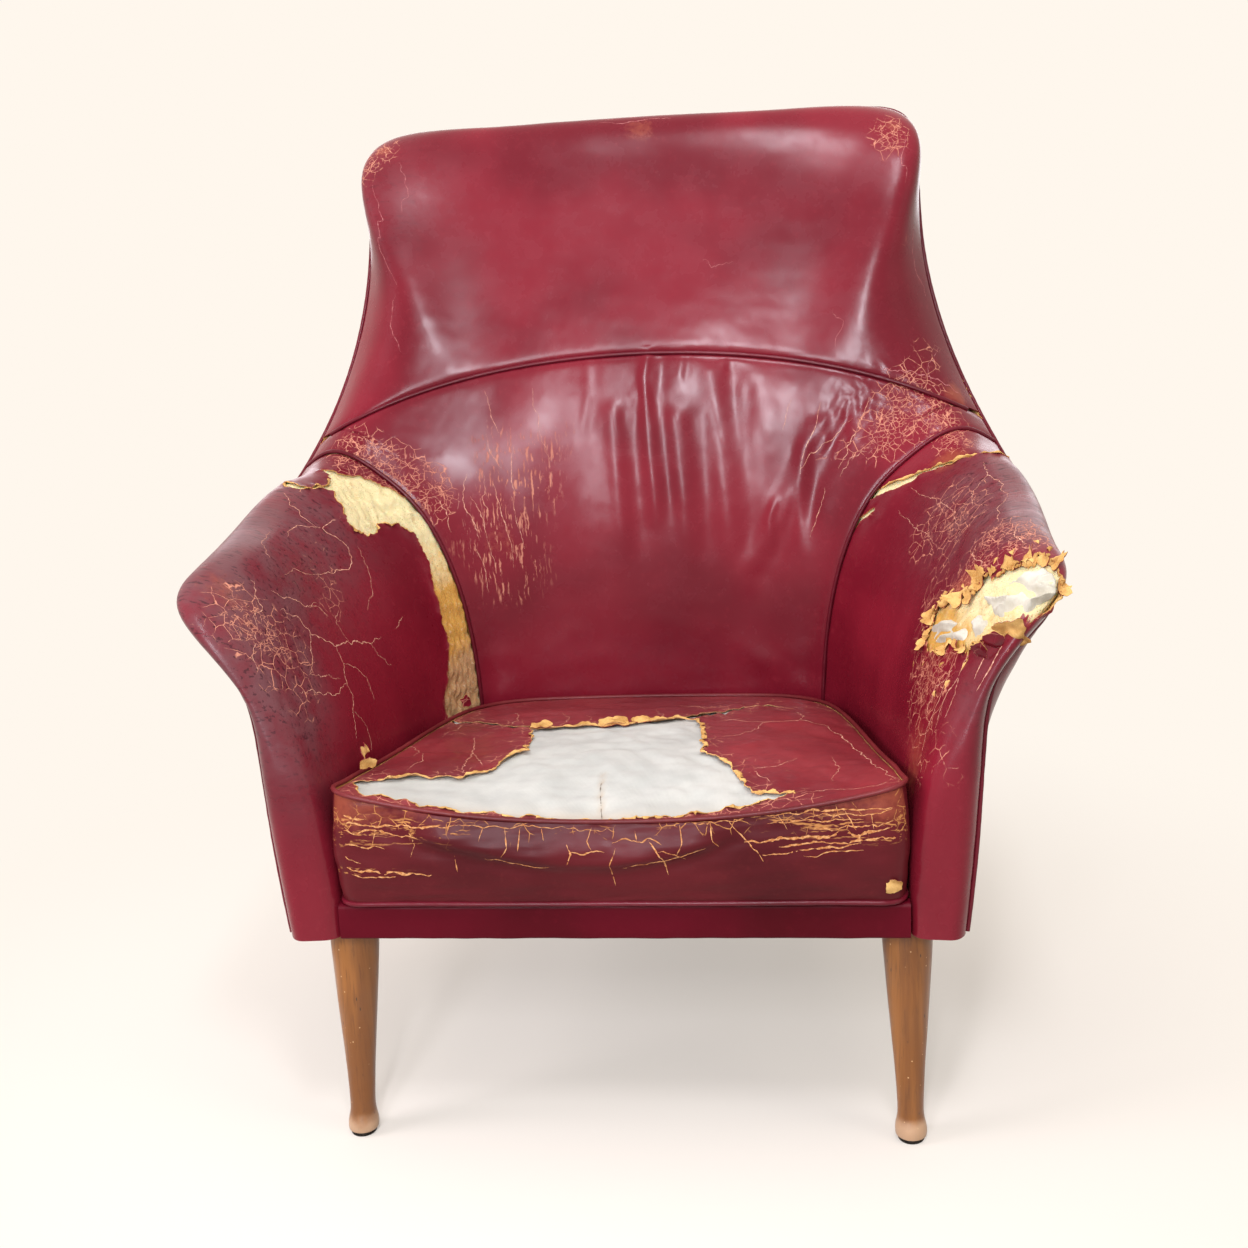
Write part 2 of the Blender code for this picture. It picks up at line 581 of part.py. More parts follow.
def outside_back(leather):
    """Tight leather across the back, from the foot to the top edge."""
    lines = np.concatenate([[U_ARM, 0.638], BACK_LINES, [U_END / 2]])
    trim = trimmed_edge(lines, [0, 2], -2 * EDGE_TRIM)
    turn = 9
    side, top = trim[:turn + 1], trim[turn:]
    low = np.linspace(BASE_Z, side[0, 1], 6)[:-1]
    row_z = np.concatenate([low, side[:, 1]])
    half = np.concatenate([back_side(low)[0] - 0.0010, side[:, 0]])
    share = top[:, 0] / top[0, 0]
    share[-1] = 0
    rise = (row_z - BASE_Z) / (row_z[-1] - BASE_Z)
    x = share[:, None] * half[None, :]
    z = BASE_Z + (top[:, 1] - BASE_Z)[:, None] * rise[None, :]
    grid = np.stack([x, outside_back_y(x, z), z], axis=-1)
    grid = np.concatenate([grid, grid[-2::-1] * (-1, 1, 1)])
    piece("outside_back", *cells(grid, inner_skin(grid, HIDE, (0, -1, 0))), leather)


# ---------------------------------------------------------------- frame
def back_member(x, z, near_extra, thickness):
    """A timber or strap behind the back's padding, from grids of X and Z on the shell's face."""
    u, v = find_uv(x, z)
    near = pad_depth(u, v) + near_extra
    return under_shell(u, v, near), under_shell(u, v, near + thickness)


def post_x(z):
    """Middle line of a back post."""
    return np.interp(z, [0.25, 0.50, 0.75, 0.93], [0.180, 0.192, 0.225, 0.262])


def frame(beech):
    """Beech rails, corner blocks and posts; gives back the corner blocks, which take the legs' bolts."""
    post_gap = {"waist_rail": 0.0012, "top_rail": 0.0040}
    z = np.linspace(0.262, 0.945, 10)[:, None]
    x = post_x(z) + np.array([-1, 0, 1])[None, :] * POST_HALF
    front, back = back_member(x, z + 0 * x, RAIL_DEPTH + GAP, 0.022)
    for grid in (front, back):
        grid[0, :, 2] = RAIL_Z1 + GAP
    pair("back_post", cells(front, back), beech)
    for name, middle, reach in (("waist_rail", 0.700, 0.022), ("top_rail", 0.918, 0.020)):
        s, z = np.meshgrid(np.linspace(-1, 1, 11), (middle - reach, middle + reach), indexing="ij")
        x = s * (post_x(z) - POST_HALF - post_gap[name])
        piece(name, *cells(*back_member(x, z, RAIL_DEPTH, 0.020)), beech)
    piece("front_rail", *box(-FRONT_RAIL_HALF, FRONT_RAIL_HALF, *FRONT_RAIL_Y, RAIL_Z0, RAIL_Z1), beech)
    reach = BLOCK_REAR[0][0] - GAP
    piece("back_rail", *box(-reach, reach, *BACK_RAIL_Y, RAIL_Z0, RAIL_Z1), beech)
    front = pair("front_block", box(*BLOCK_FRONT[0], *BLOCK_FRONT[1], RAIL_Z0, RAIL_Z1), beech)
    rear = pair("rear_block", box(*BLOCK_REAR[0], *BLOCK_REAR[1], RAIL_Z0, RAIL_Z1), beech)
    rail_z = (RAIL_Z0 + RAIL_Z1) / 2
    side = smooth_curve([(x / 1000, y / 1000, rail_z) for x, y in SIDE_RAIL], 7)
    pair("side_rail", beam(side, [(0.024, RAIL_Z1 - RAIL_Z0)] * 7), beech)
    pair("arm_post", beam(np.array(ARM_POST) / 1000, np.array(ARM_POST_SIZE) / 1000), beech)
    pair("arm_rail", beam(smooth_curve(np.array(ARM_RAIL) / 1000, 9), [(0.017, 0.032)] * 9), beech)
    return front, rear


def arm_rolls(fibre):
    """The stuffed roll under each arm's top."""
    pair("arm_roll", tube(smooth_curve(np.array(ARM_ROLL) / 1000, 8), ROLL_R, 10), fibre)


def legs(beech, steel, glide_finish, front, rear):
    """Turned legs on hanger bolts, with a nail glide under each."""
    bolt_hole = [(BORE_R, LEG_TOP), (BORE_R, BOLT_Z - GAP), (0, BOLT_Z - GAP)]
    profile = [(0, LEG_PROFILE[0][1])] + list(LEG_PROFILE) + bolt_hole
    rod = [(0, BOLT_Z), (BOLT_R, BOLT_Z), (BOLT_R, RAIL_Z1), (0, RAIL_Z1)]
    disc = [(0, 0), (GLIDE_R - 0.0008, 0), (GLIDE_R, 0.0012), (GLIDE_R, GLIDE), (0, GLIDE)]
    bore = [(0, 0.2100), (BORE_R, 0.2100), (BORE_R, 0.2500), (0, 0.2500)]
    places = (("front", LEG_TOP_FRONT, LEG_FOOT_FRONT, front), ("rear", LEG_TOP_REAR, LEG_FOOT_REAR, rear))
    for end, top, foot, blocks in places:
        low, high = (*foot, 0.0), (*top, LEG_TOP)
        pair(end + "_leg", turned(profile, low, high), beech)
        pair(end + "_leg_bolt", turned(rod, low, high, 10), steel)
        pair(end + "_glide", turned(disc, low, high, 14), glide_finish)
        guides = pair(end + "_bore_guide", turned(bore, low, high, 12), beech)
        for side in ("right", "left"):
            cut_with(blocks[side], guides[side])
            cut_with(bpy.data.objects["dust_cover"], guides[side])


# ---------------------------------------------------------------- seat deck and straps
def strap_mask(across, along):
    """Which cells of a lattice hold a strap: every second row or column of breaks."""
    i, j = np.meshgrid(np.arange(across), np.arange(along), indexing="ij")
    return (i % 2 == 1) | (j % 2 == 1)


def webbing(jute):
    """Jute straps across and along the seat, and across and up the back."""
    s = np.array([-0.95, -0.64, -0.44, -0.12, 0.12, 0.44, 0.64, 0.95])
    y = np.array([0.0135, 0.080, 0.130, 0.195, 0.245, 0.310, 0.360, 0.420, 0.450, 0.484])
    wide = np.interp(y, [0.0135, 0.16, 0.30, 0.45, 0.484], [0.272, 0.288, 0.275, 0.215, 0.200])
    x = s[:, None] * wide[None, :]
    flat = np.stack([x, y[None, :] + 0 * x, np.full_like(x, RAIL_Z1 + GAP)], axis=-1)
    piece("seat_webbing", *cells(flat + (0, 0, DECK_Z - GAP - RAIL_Z1 - GAP), flat, strap_mask(7, 9)), jute)
    s = np.array([-1, -0.60, -0.40, -0.10, 0.10, 0.40, 0.60, 1])
    z = np.array([0.264, 0.330, 0.380, 0.455, 0.505, 0.585, 0.635, 0.700, 0.750, 0.825, 0.875, 0.938])
    wide = np.interp(z, [0.26, 0.50, 0.80, 0.93], [0.190, 0.205, 0.235, 0.262])
    x = s[:, None] * wide[None, :]
    front, back = back_member(x, z[None, :] + 0 * x, STRAP_DEPTH, STRAP)
    piece("back_webbing", *cells(front, back, strap_mask(7, 11)), jute)


def deck(felt, cambric, rail_leather):
    """Felt under the cushion, the cambric that closes the base, and the leather round the front rail."""
    plan = cushion_outline(28, 0.004)
    piece("deck_pad", *slab(plan, DECK_Z, CUSHION_Z - 2 * GAP), felt)
    half = [(x - 0.006, y) for x, y in BASE[::5] if 0.04 < y < 0.455]
    half = [(np.interp(0.0325, BASE[:, 1], BASE[:, 0]) - 0.006, 0.0325)] + half
    rear = np.linspace(0.255, 0, 9)
    half += list(zip(rear, outside_back_y(rear, np.full_like(rear, BASE_Z)) - 0.006))
    outline = half + [(-x, y) for x, y in half[-2::-1]]
    piece("dust_cover", *slab(outline, LEG_TOP + GAP, LEG_TOP + GAP + CLOTH), cambric)
    y0, y1, z0, z1 = 0.0015, 0.0290, LEG_TOP + GAP, RAIL_Z1 + GAP + HIDE
    section = [(y1, z0), (y0, z0), (y0, z1), (0.0120, z1), (0.0120, z1 - HIDE), (y0 + HIDE, z1 - HIDE),
               (y0 + HIDE, z0 + 0.0015), (y1, z0 + 0.0015)]
    ends = [[(x, y, z) for y, z in section] for x in (-RAIL_COVER_HALF, RAIL_COVER_HALF)]
    piece("front_rail_cover", *rings(ends), rail_leather)


# ---------------------------------------------------------------- loose cushion
def cushion_outline(count, inset):
    """The cushion's plan as points, drawn in by an inset."""
    half = np.array(CUSHION_PLAN, float) / 1000
    whole = np.concatenate([half, half[-2:0:-1] * (-1, 1)])
    line = smooth_curve(np.concatenate([whole, whole[:1]]), count * 8 + 1)[:-1]
    ahead = np.roll(line, -1, 0) - np.roll(line, 1, 0)
    ahead /= np.linalg.norm(ahead, axis=1)[:, None]
    inward = np.stack([-ahead[:, 1], ahead[:, 0]], axis=1)
    turn = np.linalg.norm(np.roll(ahead, -4, 0) - np.roll(ahead, 4, 0), axis=1)
    weight = np.concatenate([[0], np.cumsum(1 + 5.0 * turn)])
    pick = np.searchsorted(weight, np.linspace(0, weight[-1], count, endpoint=False))
    return (line + inward * inset)[np.minimum(pick, len(line) - 1)]


def cushion_height(x, y):
    """The worn top: falling to the back, crowned in the middle, high at the front corners, sunk in front."""
    share = x / CUSHION_HALF
    depth = y + 0.006
    lift = 0.014 * np.abs(share) ** 3 * np.exp(-depth / 0.15)
    sag = 0.019 * (1 - share ** 2) * np.exp(-(depth / 0.10) ** 2)
    crown = 0.012 * (1 - share ** 2) * np.sin(math.pi * np.clip(y / CUSHION_BACK, 0, 1))
    return CUSHION_TOP - SEAT_FALL * y / CUSHION_BACK + lift - sag + crown


def loops_inward(outline, drop, shares=(1, 0.8, 0.5, 0.2)):
    """Loops from the outline to the middle, lying a drop below the cushion's top."""
    middle = np.array([0.0, 0.225])
    loops = []
    for share in shares:
        flat = middle + (outline - middle) * share
        loops.append([(x, y, cushion_height(x, y) - drop) for x, y in flat])
    return loops + [[(*middle, cushion_height(*middle) - drop)]]


def cushion(leather, boxing_leather, muslin, feathers, cord):
    """Loose cushion: leather top, boxing and bottom with two cords, over a muslin case of feathers."""
    count = 36
    outline = cushion_outline(count, 0.0)
    flat = cushion_outline(count, SEAM_HALF)
    top_skin, low_skin = loops_inward(flat, 0.0), loops_inward(flat, HIDE)
    piece("cushion_top", *rings(top_skin[::-1] + low_skin), leather)
    cut = [[(x / 1000, y / 1000, z) for x, y in SEAT_TEAR] for z in (0.30, 0.42)]
    cut_with(bpy.data.objects["cushion_top"], piece("seat_tear_guide", *rings(cut), leather))
    seam_z = CUSHION_Z + 0.0030
    bottom = [[(x, y, z) for x, y in flat] for z in (CUSHION_Z, CUSHION_Z + HIDE)]
    piece("cushion_bottom", *rings(bottom), leather)
    top_seam = [(x, y, cushion_height(x, y)) for x, y in outline]
    low_seam = [(x, y, seam_z) for x, y in outline]
    piece("cushion_top_piping", *tube(top_seam, PIPING, 5, True), cord)
    piece("cushion_bottom_piping", *tube(low_seam, PIPING, 5, True), cord)

    def wall(inset, share, low, high):
        line = cushion_outline(count, inset)
        points = []
        for (x, y), (ex, ey) in zip(line, outline):
            bulge = BOX_BULGE * math.sin(math.pi * share) * max(0.0, 1 - y / 0.030)
            points.append((x, y - bulge, low + (cushion_height(ex, ey) - high - low) * share))
        return points

    low = seam_z + SEAM_HALF
    band = [wall(0.0, s, low, SEAM_HALF) for s in (0, 0.5, 1)]
    band += [wall(HIDE, s, low, SEAM_HALF) for s in (1, 0.5, 0)]
    verts, faces = rings(band + [band[0]], closed_ends=False)
    keep = len(verts) - count
    piece("cushion_boxing", verts[:keep], [[i % keep for i in f] for f in faces], boxing_leather)
    mouth, side = cushion_outline(count, 0.07), cushion_outline(count, 0.0031)
    floor = CUSHION_Z + HIDE + GAP

    def level(plan, z):
        return [(x, y, z) for x, y in plan]

    inner = cushion_outline(count, 0.0043)
    outer_skin = [level(mouth, floor), level(side, floor)] + loops_inward(side, HIDE + GAP)
    lining = loops_inward(inner, HIDE + GAP + CLOTH)[::-1]
    lining += [level(inner, floor + CLOTH), level(mouth, floor + CLOTH)]
    verts, faces = rings(outer_skin, closed_ends=False)
    more, extra = rings(lining, closed_ends=False)
    shift = len(verts)
    faces = list(faces) + [tuple(i + shift for i in f) for f in extra]
    last = shift + len(more) - count
    faces += [(k, (k + 1) % count, last + (k + 1) % count, last + k) for k in range(count)]
    piece("cushion_liner", verts + more, faces, muslin)
    core = cushion_outline(count, 0.0047)
    stack = [level(core, floor + CLOTH + GAP)] + loops_inward(core, HIDE + 2 * GAP + CLOTH)
    piece("cushion_filling", *rings(stack), feathers)


def build():
    """The whole chair, with the finish of every material."""
    leather = material("oxblood leather", "#843039", 0.32)
    boxing_leather = material("cracked oxblood leather", "#6a3034", 0.45)
    rail_leather = material("crimson leather", "#6a1626", 0.35)
    cord = material("dark leather cord", "#57181f", 0.40)
    foam = material("aged latex foam", "#e0c987", 0.90)
    muslin = material("white muslin", "#e6e6e0", 0.85)
    feathers = material("feather filling", "#efece2", 0.95)
    beech = material("stained beech", "#8a5526", 0.40)
    raw_beech = material("raw beech", "#c9a27e", 0.60)
    jute = material("jute webbing", "#b08d57", 0.90)
    fibre = material("curled fibre stuffing", "#6b5138", 0.95)
    felt = material("wool felt", "#8d8578", 0.95)
    cambric = material("black cambric", "#26221f", 0.90)
    steel = material("zinc-plated steel", "#b9bcbe", 0.35, 1.0)
    glide_finish = material("blackened steel", "#2b2a29", 0.45, 1.0)
    shell_covers(leather, foam)
    shell_piping(cord)
    outside_arms(leather)
    outside_back(leather)
    front, rear = frame(raw_beech)
    arm_rolls(fibre)
    webbing(jute)
    deck(felt, cambric, rail_leather)
    legs(beech, steel, glide_finish, front, rear)
    cushion(leather, boxing_leather, muslin, feathers, cord)


build()
bpy.context.view_layer.update()
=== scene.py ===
"""Looks of the worn club chair: cracked oxblood hide over foam, a torn feather cushion, turned legs.

Every surface is drawn with Y from the front of the base, as in the construction, and SHIFT then moves it.
"""
import math

import bmesh
import bpy
import numpy as np
from mathutils import Matrix, Vector, geometry, kdtree


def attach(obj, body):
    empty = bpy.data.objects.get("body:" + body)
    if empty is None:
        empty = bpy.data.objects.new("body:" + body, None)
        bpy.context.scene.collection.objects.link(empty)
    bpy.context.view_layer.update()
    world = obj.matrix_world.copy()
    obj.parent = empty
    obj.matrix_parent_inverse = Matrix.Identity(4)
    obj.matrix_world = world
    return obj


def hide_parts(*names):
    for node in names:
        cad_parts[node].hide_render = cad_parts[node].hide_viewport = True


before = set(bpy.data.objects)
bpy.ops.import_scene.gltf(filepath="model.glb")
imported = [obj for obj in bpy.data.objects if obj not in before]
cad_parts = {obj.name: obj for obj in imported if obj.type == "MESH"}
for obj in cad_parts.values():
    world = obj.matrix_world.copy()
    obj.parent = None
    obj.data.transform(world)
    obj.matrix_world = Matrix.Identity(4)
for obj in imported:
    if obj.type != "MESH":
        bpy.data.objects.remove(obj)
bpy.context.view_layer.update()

# ------------------------------------------------ sizes shared with the construction, in metres
MID_DEPTH = 0.3079
SHIFT = np.array([0, -MID_DEPTH, 0])
HIDE = 0.0017              # leather
PAD_GAP = 0.0006           # between leather and what lies under it
WELT = 0.0024              # radius of a covered cord
WELT_SUNK = 0.0014         # how deep the cords along the outer edge and the arch lie in their seams
SEAM = 0.0019              # from a welt's middle line to the edge of the leather beside it
BASE_Z = 0.2172
LEG_TOP = 0.2166
CUSHION_Z = 0.2536
LOW_CORD_Z = CUSHION_Z + 0.0030
CUSHION_TOP = 0.3560
CUSHION_HALF = 0.265
CUSHION_BACK = 0.455
CUSHION_MIDDLE = np.array([0.0, 0.225])
SEAT_FALL = 0.034
GLIDE = 0.0040
LEG_TOPS = {"front": (0.270, 0.049), "rear": (0.211, 0.470)}
LEG_FEET = {"front": (0.271, 0.020), "rear": (0.236, 0.552)}
LEG_PROFILE = ((0.0148, 0.0043), (0.0152, 0.0110), (0.0131, 0.0220), (0.0126, 0.0340), (0.0180, 0.1150),
               (0.0232, 0.1850), (0.0240, 0.2080), (0.0235, LEG_TOP))

# Lines plan of the upholstered surface, in millimetres: the right-hand half, from the front of the arm
# round to the middle of the back. Each station runs from the seat deck over the padding to the outer edge.
STATIONS = (
    ((270, 31, 218), (270, 20, 218), (271, 8, 218), (281, -1, 218),
     (299, -3, 218), (315, 2, 218), (323, 15, 218)),
    ((269, 42, 250), (269, 30, 268), (271, 11, 286), (283, -2, 296),
     (303, -4, 301), (322, 2, 303), (331, 16, 304)),
    ((267, 80, 254), (268, 62, 290), (273, 30, 335), (286, 4, 372),
     (308, -4, 388), (328, 2, 393), (336, 17, 394)),
    ((262, 118, 254), (266, 98, 300), (277, 64, 362), (300, 24, 426),
     (329, 4, 457), (344, 8, 462), (349, 24, 461)),
    ((256, 160, 254), (264, 138, 320), (281, 104, 400), (320, 52, 481),
     (367, 16, 525), (400, 28, 530), (392, 54, 503)),
    ((252, 192, 254), (262, 182, 330), (284, 162, 425), (327, 126, 514),
     (373, 98, 566), (412, 92, 557), (409, 102, 526)),
    ((246, 238, 254), (257, 237, 335), (280, 233, 430), (323, 228, 522),
     (374, 223, 582), (420, 221, 577), (423, 223, 544)),
    ((234, 328, 254), (243, 334, 335), (262, 340, 440), (301, 346, 535),
     (354, 349, 598), (410, 351, 610), (430, 354, 576)),
    ((206, 428, 254), (209, 433, 345), (224, 432, 462), (263, 430, 561),
     (319, 434, 617), (381, 448, 638), (417, 474, 618)),
    ((178, 444, 254), (180, 446, 350), (192, 447, 480), (229, 452, 591),
     (288, 466, 666), (351, 492, 703), (382, 530, 698)),
    ((140, 455, 254), (141, 455, 350), (150, 457, 490), (183, 467, 626),
     (243, 490, 749), (314, 518, 835), (342, 566, 846)),
    ((105, 460, 254), (106, 459, 350), (113, 461, 500), (142, 477, 664),
     (217, 513, 826), (332, 548, 962), (336, 600, 965)),
    ((80, 463, 254), (80, 461, 350), (86, 463, 505), (110, 484, 687),
     (184, 526, 867), (302, 569, 994), (319, 613, 1004)),
    ((40, 465, 254), (40, 462, 350), (43, 464, 508), (56, 489, 710),
     (97, 538, 895), (159, 584, 1012), (168, 624, 1009)),
    ((0, 466, 254), (0, 463, 350), (0, 465, 508), (0, 491, 717),
     (0, 542, 900), (0, 587, 1013), (0, 627, 1012)),
)
SHOULDER = 8               # the station that the arm's piped seam follows
BASE_LINE = ((323, 15), (326, 100), (318, 250), (300, 380), (272, 470))
BASE_REAR_Y = 0.548
REAR_CORNER_Y = 0.470
BACK_TURN = 0.858          # where the shell's outer edge turns from the back's side to its top
CUSHION_PLAN = ((0, -6), (130, -6), (235, -6), (256, -3), (264, 7), (265, 30), (262, 75), (258, 105),
                (250, 160), (240, 238), (226, 328), (203, 397), (168, 432), (100, 449), (0, 455))

# ------------------------------------------------ damage, as places on the shell and the cushion
# Outlines on the shell are (u, v) in millimetres, u from the right arm's foot round to the left's.
BURST_SEAM = ((1510, 436), (1513, 405), (1495, 390), (1488, 370), (1481, 347), (1475, 317), (1465, 286),
              (1453, 240), (1453, 120), (1453, -10), (1561, -10), (1559, 50), (1549, 85), (1532, 113),
              (1521, 143), (1522, 166), (1517, 192), (1514, 211), (1506, 229), (1503, 253), (1501, 274),
              (1512, 288), (1517, 302), (1529, 304), (1532, 312), (1546, 313), (1561, 304), (1578, 305),
              (1587, 319), (1592, 337), (1584, 347), (1575, 356), (1570, 369), (1560, 384), (1569, 395),
              (1579, 402), (1562, 402), (1542, 399), (1526, 417))
SMALL_BURST = ((1580, 441), (1584, 428), (1587, 413), (1579, 404), (1592, 405), (1599, 416), (1596, 428))
NOSE_HOLE = ((321, 212), (329, 232), (350, 240), (336, 258), (310, 282), (298, 301), (305, 325), (300, 344),
             (293, 364), (295, 385), (296, 407), (289, 420), (276, 428), (260, 437), (244, 445), (238, 429),
             (244, 405), (242, 382), (244, 367), (241, 347), (246, 319), (239, 302), (250, 285), (269, 265),
             (279, 247), (290, 224))
ARM_RIP = ((639, 289), (633, 304), (618, 329), (602, 354), (589, 380), (565, 399), (546, 418), (540, 458),
           (537, 458), (542, 417), (559, 394), (583, 376), (596, 349), (608, 323), (625, 299), (631, 288))
SMALL_RIP = ((639, 243), (630, 263), (617, 284), (613, 282), (625, 261), (633, 242))
# The tears of each arm's leather with how ragged they are, and how far their edges lift, in metres
TEARS = {"left": ((BURST_SEAM, 0.0016), (SMALL_BURST, 0.0010)),
         "right": ((NOSE_HOLE, 0.0042), (ARM_RIP, 0.0006), (SMALL_RIP, 0.0004))}
LIFT = {"left": 0.0016, "right": 0.0022}
# Outlines on the cushion's top are (x, y) in millimetres.
SEAT_HOLE = ((-113, 241), (-103, 246), (-89, 247), (-51, 246), (-6, 253), (26, 258), (46, 276), (62, 277),
             (68, 250), (74, 198), (74, 140), (88, 129), (103, 110), (113, 79), (122, 47), (132, 36),
             (169, 31), (147, 23), (123, 16), (88, 9), (57, 3), (-12, 1), (-69, 5), (-134, 7), (-181, 9),
             (-224, 10), (-243, 17), (-258, 48), (-235, 60), (-202, 76), (-158, 81), (-142, 93), (-129, 107),
             (-119, 135), (-105, 156), (-106, 189))
SEAT_SPLIT = ((-252, 372), (-247, 353), (-220, 317), (-184, 291), (-152, 266), (-110, 245), (-108, 252),
              (-152, 272), (-183, 297), (-217, 323), (-243, 360))
SEAT_SPLIT_RIGHT = ((52, 276), (72, 296), (94, 322), (116, 352), (141, 354), (170, 340), (141, 360),
                    (113, 358), (88, 327), (66, 302), (48, 281))

# ------------------------------------------------ smooth curves and the shell surface
def spline_weights(knots, at):
    """Rows of weights that read a natural cubic spline through the knots at the places given."""
    count = len(knots)
    step = np.diff(knots)
    left, right = np.eye(count), np.zeros((count, count))
    for i in range(1, count - 1):
        left[i, i - 1:i + 2] = step[i - 1], 2 * (step[i - 1] + step[i]), step[i]
        right[i, i - 1:i + 2] = 6 / step[i - 1], -6 / step[i - 1] - 6 / step[i], 6 / step[i]
    bend = np.linalg.solve(left, right)
    at = np.asarray(at, float)
    k = np.clip(np.searchsorted(knots, at, side="right") - 1, 0, count - 2)
    a = (knots[k + 1] - at) / step[k]
    b = 1 - a
    weights = ((a ** 3 - a) * step[k] ** 2 / 6)[:, None] * bend[k]
    weights += ((b ** 3 - b) * step[k] ** 2 / 6)[:, None] * bend[k + 1]
    weights[np.arange(len(at)), k] += a
    weights[np.arange(len(at)), k + 1] += b
    return weights


def run_length(points):
    """Distance along a row of points, from 0."""
    return np.concatenate([[0.0], np.cumsum(np.linalg.norm(np.diff(points, axis=0), axis=1))])


def smooth_curve(points, count):
    """Count points, evenly spaced, on the smooth curve through the points given."""
    points = np.asarray(points, float)
    knots = run_length(points)
    fine = spline_weights(knots, np.linspace(0, knots[-1], 12 * count)) @ points
    return evenly(fine, count)


def evenly(points, count):
    """Count points, evenly spaced along a row of points."""
    points = np.asarray(points, float)
    length = run_length(points)
    even = np.linspace(0, length[-1], count)
    return np.stack([np.interp(even, length, points[:, axis]) for axis in range(points.shape[1])], axis=1)


HALF = np.array(STATIONS, float) / 1000
NET = np.concatenate([HALF, HALF[-2::-1] * np.array([-1, 1, 1])])
U = np.concatenate([[0], np.cumsum(np.linalg.norm(np.diff(NET, axis=0), axis=2).mean(1))])
V = np.concatenate([[0], np.cumsum(np.linalg.norm(np.diff(NET, axis=1), axis=2).mean(0))])
U_ARM, U_END, V_END = U[SHOULDER], U[-1], V[-1]


def on_shell(u, v):
    """Points of the smooth upholstered surface."""
    u, v = np.broadcast_arrays(np.asarray(u, float), np.asarray(v, float))
    rows, columns = spline_weights(U, u.ravel()), spline_weights(V, v.ravel())
    return np.einsum("pi,pj,ijk->pk", rows, columns, NET, optimize=True).reshape(u.shape + (3,))


def shell_frame(u, v, step=1e-4):
    """Points of the smooth surface and their outward directions."""
    along = on_shell(u + step, v) - on_shell(u - step, v)
    up = on_shell(u, v + step) - on_shell(u, v - step)
    outward = np.cross(up, along)
    outward /= np.linalg.norm(outward, axis=-1)[..., None]
    return on_shell(u, v), outward


def stretch(u, v, step=1e-3):
    """Real length to one of u and to one of v, as two factors."""
    du = np.linalg.norm(on_shell(u + step, v) - on_shell(u - step, v), axis=-1) / (2 * step)
    dv = np.linalg.norm(on_shell(u, v + step) - on_shell(u, v - step), axis=-1) / (2 * step)
    return du, dv


def arch_v(u):
    """Where the piped arch between lower back and head crosses each line of the shell."""
    low, high = np.zeros_like(u), np.full_like(u, V_END)
    for _ in range(40):
        middle = (low + high) / 2
        point = on_shell(u, middle)
        above = point[..., 2] > 0.737 - 0.43 * point[..., 0] ** 2 - 0.75 * point[..., 0] ** 4
        high, low = np.where(above, middle, high), np.where(above, low, middle)
    return high


# ------------------------------------------------ fields over a surface
def ripple(points, size, seed, octaves=3):
    """Smooth random field of about -1 to 1, with features of the size given in metres."""
    draw = np.random.default_rng(seed)
    total = np.zeros(len(points))
    for octave in range(octaves):
        heading = draw.normal(size=(14, 3))
        heading /= np.linalg.norm(heading, axis=1)[:, None]
        wave = 2 * math.pi / (size * 0.5 ** octave) * draw.uniform(0.6, 1.3, 14)
        total += 0.55 ** octave * np.sin(points @ heading.T * wave + draw.uniform(0, 6.28, 14)).sum(1) / 4.2
    return total


def distance(points, path):
    """Distance from each point to the nearest of the path's points."""
    tree = kdtree.KDTree(len(path))
    for i, place in enumerate(path):
        tree.insert((*place, 0.0)[:3], i)
    tree.balance()
    return np.array([tree.find((*p, 0.0)[:3])[2] for p in points])


def spots(points, table):
    """Sum of soft round spots: (x, y, z, radius, strength), in millimetres, at most 1."""
    total = np.zeros(len(points))
    for x, y, z, radius, strength in table:
        away = ((points - np.array([x, y, z]) / 1000) ** 2).sum(1) / (radius / 1000) ** 2
        total += strength * np.exp(-away)
    return np.minimum(total, 1.0)


def blend(low, high, x):
    """Smooth rise from 0 to 1 between two values."""
    t = np.clip((x - low) / (high - low), 0, 1)
    return t * t * (3 - 2 * t)


# Upright pulls in the lower back's leather, as (x, z) paths in millimetres, with height and half width
BACK_FOLDS = (
    (((-35, 680), (-31, 601), (-27, 520)), 1.5, 11), (((11, 742), (6, 681), (9, 623), (14, 555)), 1.6, 9),
    (((41, 670), (49, 585), (52, 505)), 1.3, 12), (((84, 722), (95, 621), (103, 505)), 1.6, 14),
    (((212, 655), (175, 572), (118, 470)), 1.8, 15), (((192, 630), (189, 583), (184, 525)), 1.3, 8),
    (((10, 742), (2, 707), (6, 680)), 0.7, 4.5), (((52, 740), (47, 708)), 0.4, 4.5),
    (((-65, 734), (-63, 690), (-71, 655)), 0.35, 6), (((-10, 695), (-14, 655)), 0.35, 5),
    (((119, 700), (120, 660)), 0.4, 5), (((157, 562), (148, 536), (152, 512)), 0.7, 5),
    (((247, 682), (229, 646), (208, 612)), 0.7, 5), (((102, 738), (98, 712)), 0.35, 4.5))
# Soft pulls towards the lower corners of the back
LOW_FOLDS = (((-205, 322), (-165, 340), (-115, 362), (-60, 372)), ((-190, 380), (-140, 372), (-90, 400)),
             ((205, 322), (160, 345), (110, 385)), ((215, 390), (180, 372), (140, 366)))
SEAM_STEP = 0.002


